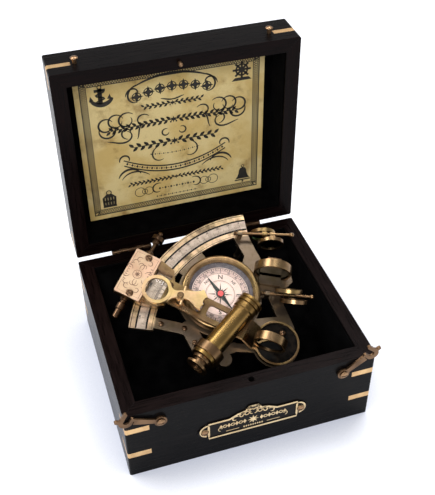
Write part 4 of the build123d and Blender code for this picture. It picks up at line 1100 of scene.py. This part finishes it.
# ---------------------------------------------------------------- compass card
@dataclass
class CompassCard:
    """Printed face of the compass, and the paint in its well, darkened with painted shade, and on its needle.
    """

    finishes: Finishes
    north: float = 73.5
    face_z: float = SIZES.dial_z
    ink_h: float = 0.03
    band: Pair = (14.75, 3.1)
    circles: tuple[Pair, ...] = ((16.4, 0.26), (15.0, 0.14), (13.1, 0.22), (8.6, 0.24), (8.1, 0.10))
    tick_out: float = 16.25
    tick_in: Pair = (14.95, 15.5)
    tick_w: Pair = (0.42, 0.22)
    figures: Pair = (14.05, 1.15)
    letters_r: float = 10.8
    letter_h: Pair = (2.8, 1.7)
    ray_tips: tuple[float, ...] = (7.6, 4.2, 6.6, 4.2)
    ray_waist: Pair = (3.4, 2.2)
    ray_w: Pair = (0.42, 0.2)
    hub_r: float = 1.75
    cap_z: float = 1.0
    well_gap: float = 4.3

    def build(self, nodes: dict[str, bpy.types.Object]) -> None:
        """Prints the card, gives the case brass outside its well, and paints the needle's cap.

        Args:
            nodes: The frame's objects by name.
        """
        place = COMPASS.turned(self.north - 90)
        band = Piece("compass_band", "sextant", self.finishes["card_band"])
        band.layer(place, self.face_z, self.ink_h / 3).ring(0, 0, *self.band, 72)
        band.done()
        card = Piece("compass_print", "sextant", self.finishes["dial_ink"])
        ink = card.layer(place, self.face_z, self.ink_h)
        for radius, width in self.circles:
            ink.ring(0, 0, radius, width, 72)
        for step in range(72):
            turn, minor = 90 - 5 * step, step % 2
            ink.stroke([polar(self.tick_in[minor], turn), polar(self.tick_out, turn)], self.tick_w[minor])
        for bearing in range(0, 360, 20):
            self._mark(ink, self.figures[0], bearing).sign(str(bearing), self.figures[1])
        for step, text in enumerate(("N", "NE", "E", "SE", "S", "SW", "W", "NW")):
            self._mark(ink, self.letters_r, 45 * step).sign(text, self.letter_h[step % 2])
        for step in range(16):
            self._ray(ink, 90 - 22.5 * step, self.ray_tips[step % 4], self.ray_w[step % 2])
        card.done()
        paint(nodes["needle"], self.finishes["red_paint"], COMPASS,
              lambda r, z: r < self.hub_r and z > self.face_z + self.cap_z)
        paint(nodes["compass_case"], self.finishes["tube_brass"], COMPASS,
              lambda r, z: r > SIZES.dial_r + self.well_gap or z < self.face_z - self.cap_z)

    def _ray(self, ink: Layer, turn: float, tip: float, half_w: float) -> None:
        """One ray of the compass star.

        Args:
            ink: Layer that it is printed in.
            turn: Direction, in degrees.
            tip: Radius of its point.
            half_w: Half of its width at the waist.
        """
        (tx, ty), (nx, ny) = polar(1.0, turn), polar(half_w, turn + 90)
        waist, foot = self.ray_waist
        ink.slab([(foot * tx, foot * ty), (waist * tx + nx, waist * ty + ny), (tip * tx, tip * ty),
                  (waist * tx - nx, waist * ty - ny)])

    @staticmethod
    def _mark(ink: Layer, radius: float, bearing: float) -> Layer:
        """The card's layer at a bearing, upright outwards."""
        return ink.moved(*polar(radius, 90 - bearing)).turned(-bearing)


# ---------------------------------------------------------------- divided scales
@dataclass
class DividedScales:
    """Divisions and figures cut in the limb's silver strip and in the vernier."""

    finishes: Finishes
    start: float = 89.0
    step: float = 0.5
    lines: int = 136
    foot_gap: float = 0.25
    reaches: tuple[float, float, float] = (3.0, 2.4, 1.6)
    fine_w: float = 0.18
    rule_w: float = 0.10
    cut_h: float = 0.02
    figure_h: float = 1.15
    figure_gap: float = 1.0
    limb: Pair = (86.2, 158.8)
    vernier_z: float = 0.9
    vernier_gap: float = 0.15
    vernier_step: float = 0.52
    vernier_lines: int = 12
    vernier_reaches: Pair = (2.2, 1.5)
    vernier_figures: Pair = (72.2, 1.0)

    def build(self) -> None:
        """Cuts both scales, and lays the limb's black lines, which are mostly painted shade."""
        self._limb_scale()
        self._limb_lines()
        self._vernier()

    def _limb_scale(self) -> None:
        """Divisions of half a degree, longer at each fifth and figured at each tenth."""
        scale = Piece("limb_divisions", "sextant", self.finishes["dial_ink"])
        ink = scale.layer(SEAT, 0.0, self.cut_h)
        foot = SIZES.scale_in + self.foot_gap
        for index in range(self.lines + 1):
            reach = self.reaches[0 if index % 10 == 0 else 1 if index % 5 == 0 else 2]
            turn = self.start + self.step * index
            ink.stroke([polar(foot, turn), polar(foot + reach, turn)], self.fine_w)
            if index % 10 == 0:
                figure = ink.moved(*polar(SIZES.scale_out - self.figure_gap, turn)).turned(turn - 90)
                figure.sign(str(index), self.figure_h)
        ink.stroke([polar(foot, self.start + self.step * index / 2) for index in range(2 * self.lines + 1)],
                   self.rule_w)
        scale.done()

    def _limb_lines(self) -> None:
        """Black lines round the limb: painted shade of the groove on each side of the scale and of the step
        at radius 70.9, and thin lines near its edges.
        """
        lines = Piece("limb_lines", "sextant", self.finishes["black_paint_and_shade"])
        ink = lines.layer(SEAT, 0.0, self.cut_h)
        # Painted shade: the wide lines beside the scale stand for the shade in its groove, and the short line
        # at 70.9 for the shade at the step to the inner plate.
        for radius, width, (first, last) in (
            (SIZES.scale_in - 0.3, 1.0, self.limb), (SIZES.scale_out + 0.3, 1.0, self.limb),
            (84.1, 0.35, self.limb), (71.9, 0.25, self.limb), (70.9, 0.6, (111.7, 126.8)),
        ):
            ink.stroke([polar(radius, first + (last - first) * index / 96) for index in range(97)], width)
        lines.done()

    def _vernier(self) -> None:
        """Divisions of the vernier, figured at each fourth."""
        vernier = Piece("vernier_divisions", "arm", self.finishes["dial_ink"])
        ink = vernier.layer(ARM, self.vernier_z, self.cut_h)
        head = SIZES.scale_in - self.vernier_gap
        for index in range(-self.vernier_lines, self.vernier_lines + 1):
            reach = self.vernier_reaches[1 if index % 4 else 0]
            turn = index * self.vernier_step
            ink.stroke([polar(head, turn), polar(head - reach, turn)], 2 * self.fine_w)
            if index % 4 == 0:
                figure = ink.moved(*polar(self.vernier_figures[0], turn)).turned(turn - 90)
                figure.sign(str(abs(index // 4) * 10), self.vernier_figures[1])
        vernier.done()


# ---------------------------------------------------------------- plates
@dataclass
class FrontPlate:
    """Brass lines and scrolls on the black plate of the front."""

    finishes: Finishes
    place: Place = Place(Vector((0, -SIZES.depth / 2, 21.0)), ACROSS, FORWARD)
    top: float = 0.7
    field_z: float = 0.4
    raise_h: float = 0.1
    brow: float = 6.7
    half_w: float = 25.3
    shoulder: float = 13.6
    lobe_y: float = 3.4
    rim_w: float = 1.2
    scroll_w: float = 0.72

    def build(self) -> None:
        """Lays the brass over the plate."""
        brass = Piece("plate_brasswork", "case", self.finishes["plate_brass"])
        self._rim(brass.layer(self.place, self.top, self.raise_h))
        self._crest(brass.layer(self.place, self.top, self.raise_h))
        self._field(brass.layer(self.place, self.field_z, self.raise_h))
        brass.done()

    def _rim(self, brass: Layer) -> None:
        """Raised rim with an arched brow, and the round ears at its sides.

        Args:
            brass: Layer that it is laid in.
        """
        b, w = self.brow, self.half_w
        right = [(2.6, b + 5.8), (4.4, b + 2.9), (8.6, b + 1.9), (self.shoulder, b - 0.7), (w, b - 0.7),
                 (w, self.lobe_y), (w, -self.lobe_y), (w, 0.7 - b)]
        brass.stroke(right + [(-x, y) for x, y in right[::-1]], self.rim_w, closed=True)
        for ear in paired(curl((26.6, -3.5), 12, 13.0, 13.2, 13.2, 20)):
            brass.stroke(ear, 1.0)
        for side in (-1, 1):
            brass.ring(side * 27.6, 0, 1.9, 0.7, 24)

    def _crest(self, brass: Layer) -> None:
        """Scrolls that fill the brow, and the bead on its top.

        Args:
            brass: Layer that it is laid in.
        """
        b = self.brow
        for scroll in (
            ((0.8, b + 5.0), 60, 6.0, -30.0, -70.0), ((1.4, b + 1.2), 60, 8.5, -20.0, -60.0),
            ((4.6, b + 1.8), 20, 7.0, -12.0, -60.0), ((8.6, b + 0.2), 15, 7.0, -10.0, -60.0),
            ((0.6, b - 0.6), 20, 7.5, 14.0, 50.0), ((6.6, b - 0.4), 160, 5.0, -20.0, -70.0),
        ):
            for path in paired(curl(*scroll, 16)):
                brass.stroke(path, self.scroll_w, taper=0.5)
        brass.dot(0, b + 5.4, 0.55)

    @staticmethod
    def _field(brass: Layer) -> None:
        """Star, lozenges and rules in the middle of the plate.

        Args:
            brass: Layer that it is laid in.
        """
        for path in paired(curl((18.6, -2.6), 25, 6.0, 20.0, 70.0, 14)):
            brass.stroke(path, 0.5, taper=0.5)
        brass.star(0, 0.9, 3.3, 1.3, 8)
        for step in range(1, 8):
            for side in (-1, 1):
                x = side * (2.6 + 2.25 * step)
                if step % 2:
                    brass.lozenge(x, 0.9, 2.0, 3.6)
                else:
                    brass.ring(x, 0.9, 1.0, 0.55, 16)
        for step in range(-4, 5):
            brass.lozenge(1.3 * step, -3.6, 1.1, 1.7)
        for rule in paired([(x / 2, -3.6) for x in range(16, 32)]):
            brass.stroke(rule, 0.4)


@dataclass
class CoverEngraving:
    """Ornament engraved in the plate over the tangent screw."""

    finishes: Finishes
    top: float = 5.9
    middle: float = 89.0
    half_w: float = 13.1
    half_l: float = 6.8
    rule_w: float = 0.22
    scroll_w: float = 0.42
    cut_h: float = 0.02

    def build(self) -> None:
        """Cuts the ornament."""
        cover = Piece("cover_engraving", "arm", self.finishes["engraving"])
        cut = cover.layer(ARM.moved(self.middle, 0, self.top).turned(-90), 0, self.cut_h)
        cut.star(0, 0.4, 2.1, 0.8, 8)
        cut.ring(0, 0.4, 2.6, 0.32, 28)
        x, y = self.half_w, self.half_l
        cut.stroke([(-x, -y), (x, -y), (x, y), (-x, y)], self.rule_w, closed=True)
        for scroll in (
            ((10.2, 1.6), 60, 7.0, 20.0, 60.0), ((10.4, -1.8), -60, 7.0, -20.0, -60.0),
            ((3.2, 0.4), 30, 8.0, -14.0, -46.0), ((3.4, -0.6), -35, 8.0, 14.0, 46.0),
            ((6.6, 2.8), 20, 6.5, 20.0, 60.0), ((2.0, 4.4), 15, 6.5, 12.0, 60.0),
            ((2.2, -3.4), -20, 6.5, -12.0, -60.0),
        ):
            for path in paired(curl(*scroll, 16)):
                cut.stroke(path, self.scroll_w, taper=0.4)
        for side in (-1, 1):
            for step in range(4):
                cut.lozenge(side * (1.2 + 1.7 * step), -5.9, 0.8, 1.5)
                cut.lozenge(side * (0.9 + 1.5 * step), 6.2, 0.6, 1.2)
        cover.done()


# ---------------------------------------------------------------- studio
@dataclass(frozen=True)
class Lamp:
    """Soft square lamp aimed at the box; places in metres."""

    name: str
    at: tuple[float, float, float]
    size: float
    watts: float
    aim: tuple[float, float, float] = (0.0, 0.0, 0.05)

    def build(self) -> None:
        """Makes the lamp."""
        data = bpy.data.lights.new(self.name, "AREA")
        data.size, data.energy = self.size, self.watts
        lamp = bpy.data.objects.new(self.name, data)
        lamp.location = self.at
        lamp.rotation_euler = (Vector(self.aim) - Vector(self.at)).to_track_quat("-Z", "Y").to_euler()
        bpy.context.scene.collection.objects.link(lamp)


@dataclass
class Studio:
    """Camera, soft light, and a pale floor and backdrop."""

    focal_px: float = 827.14
    image_h: float = 495.0
    sensor_mm: float = 36.0
    eye_mm: tuple[float, float, float] = (-100.12, -325.73, 384.79)
    ahead: tuple[float, float, float] = (0.22379798, 0.72622932, -0.65000418)
    right: tuple[float, float, float] = (0.95314293, -0.30236622, -0.00965493)
    lamps: tuple[Lamp, ...] = (
        Lamp("key", (-0.45, 0.30, 0.95), 0.55, 7.0),
        Lamp("top", (0.30, 0.25, 0.92), 0.35, 5.0),
        Lamp("front", (-0.35, -0.95, 0.9), 0.6, 11.0),
    )
    sky: Colour = (0.93, 0.95, 1.0)
    sky_strength: float = 0.3
    backdrop: Colour = (1.0, 1.0, 1.0)
    backdrop_rise: Pair = (0.12, 0.45)
    floor_half: float = 6.0
    floor_paint: Colour = (0.42, 0.43, 0.47)
    floor_shade: Colour = (0.22, 0.24, 0.31)
    floor_white: Colour = (0.72, 0.72, 0.72)
    shade_mm: float = 110.0

    def build(self) -> None:
        """Makes the camera, the lights, the floor and the world."""
        self._camera()
        self._world()
        self._floor()
        for lamp in self.lamps:
            lamp.build()
        scene = bpy.context.scene
        scene.view_settings.view_transform = "Standard"
        scene.view_settings.look = "None"

    def _camera(self) -> None:
        """Camera at the eye point, upright to its own right and ahead directions."""
        data = bpy.data.cameras.new("camera")
        data.sensor_width = self.sensor_mm
        data.lens = self.focal_px * self.sensor_mm / self.image_h
        data.clip_start, data.clip_end = 0.01, 20.0
        eye = bpy.data.objects.new("camera", data)
        ahead, right = Vector(self.ahead).normalized(), Vector(self.right).normalized()
        turn = Matrix((right, right.cross(ahead), -ahead)).transposed().to_4x4()
        eye.matrix_world = Matrix.Translation(Vector(self.eye_mm) * MM) @ turn
        bpy.context.scene.collection.objects.link(eye)
        bpy.context.scene.camera = eye

    def _world(self) -> None:
        """Dim even surroundings, with a pale backdrop for the camera and, low down, for mirrored rays."""
        world = bpy.data.worlds.new("world")
        bpy.context.scene.world = world
        world.use_nodes = True
        g = Graph(world.node_tree)
        dim = g.tree.nodes["Background"]
        g.feed(dim.inputs["Color"], self.sky)
        g.feed(dim.inputs["Strength"], self.sky_strength)
        white = g.fed("ShaderNodeBackground", self.backdrop)
        ray = g.add("ShaderNodeTexCoord").outputs["Generated"]
        rise = g.fed("ShaderNodeSeparateXYZ", ray).outputs["Z"]
        low = g.between(rise, *self.backdrop_rise, 1.0, 0.0, "LINEAR")
        path = g.add("ShaderNodeLightPath")
        shown = g.maths("MAXIMUM", g.maths("MULTIPLY", g.sent_on(path), low), path.outputs["Is Camera Ray"])
        either = g.fed("ShaderNodeMixShader", shown, dim.outputs[0], white.outputs[0])
        g.join(either.outputs[0], g.tree.nodes["World Output"].inputs["Surface"])

    def _floor(self) -> None:
        """Wide white sheet that keeps the box's shadow, and glows for the camera and mirrored rays with a
        soft painted blue-grey shade round the box's foot.
        """
        mesh = bpy.data.meshes.new("floor")
        far = self.floor_half
        mesh.from_pydata([(-far, -far, 0), (far, -far, 0), (far, far, 0), (-far, far, 0)], [], [(0, 1, 2, 3)])
        floor = bpy.data.objects.new("floor", mesh)
        bpy.context.scene.collection.objects.link(floor)
        s = Shader("pale_floor")
        s.set(base_color=self.floor_paint, roughness=0.7, specular_ior_level=0.1)
        # Painted shade: the glow turns blue-grey where ambient occlusion finds the box close by.
        lit = s.between(s.openness(self.shade_mm, 8), 0.35, 0.97)
        colour = s.mix(lit, self.floor_shade, self.floor_white)
        path = s.add("ShaderNodeLightPath")
        seen = s.maths("MAXIMUM", path.outputs["Is Camera Ray"], s.sent_on(path))
        glow = s.fed("ShaderNodeEmission", colour, seen)
        both = s.fed("ShaderNodeAddShader", s.skin.outputs[0], glow.outputs[0])
        s.join(both.outputs[0], s.out.inputs["Surface"])
        mesh.materials.append(s.material)


def main() -> None:
    """Builds the looks over the frame."""
    logging.basicConfig(level=logging.INFO, format="%(name)s: %(message)s")
    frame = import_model()
    finishes = Finishes()
    Dresser().dress(frame["nodes"], finishes)
    LidLabel(finishes).build()
    CompassCard(finishes).build(frame["nodes"])
    DividedScales(finishes).build()
    FrontPlate(finishes).build()
    CoverEngraving(finishes).build()
    Studio().build()


if __name__ == "__main__":
    main()
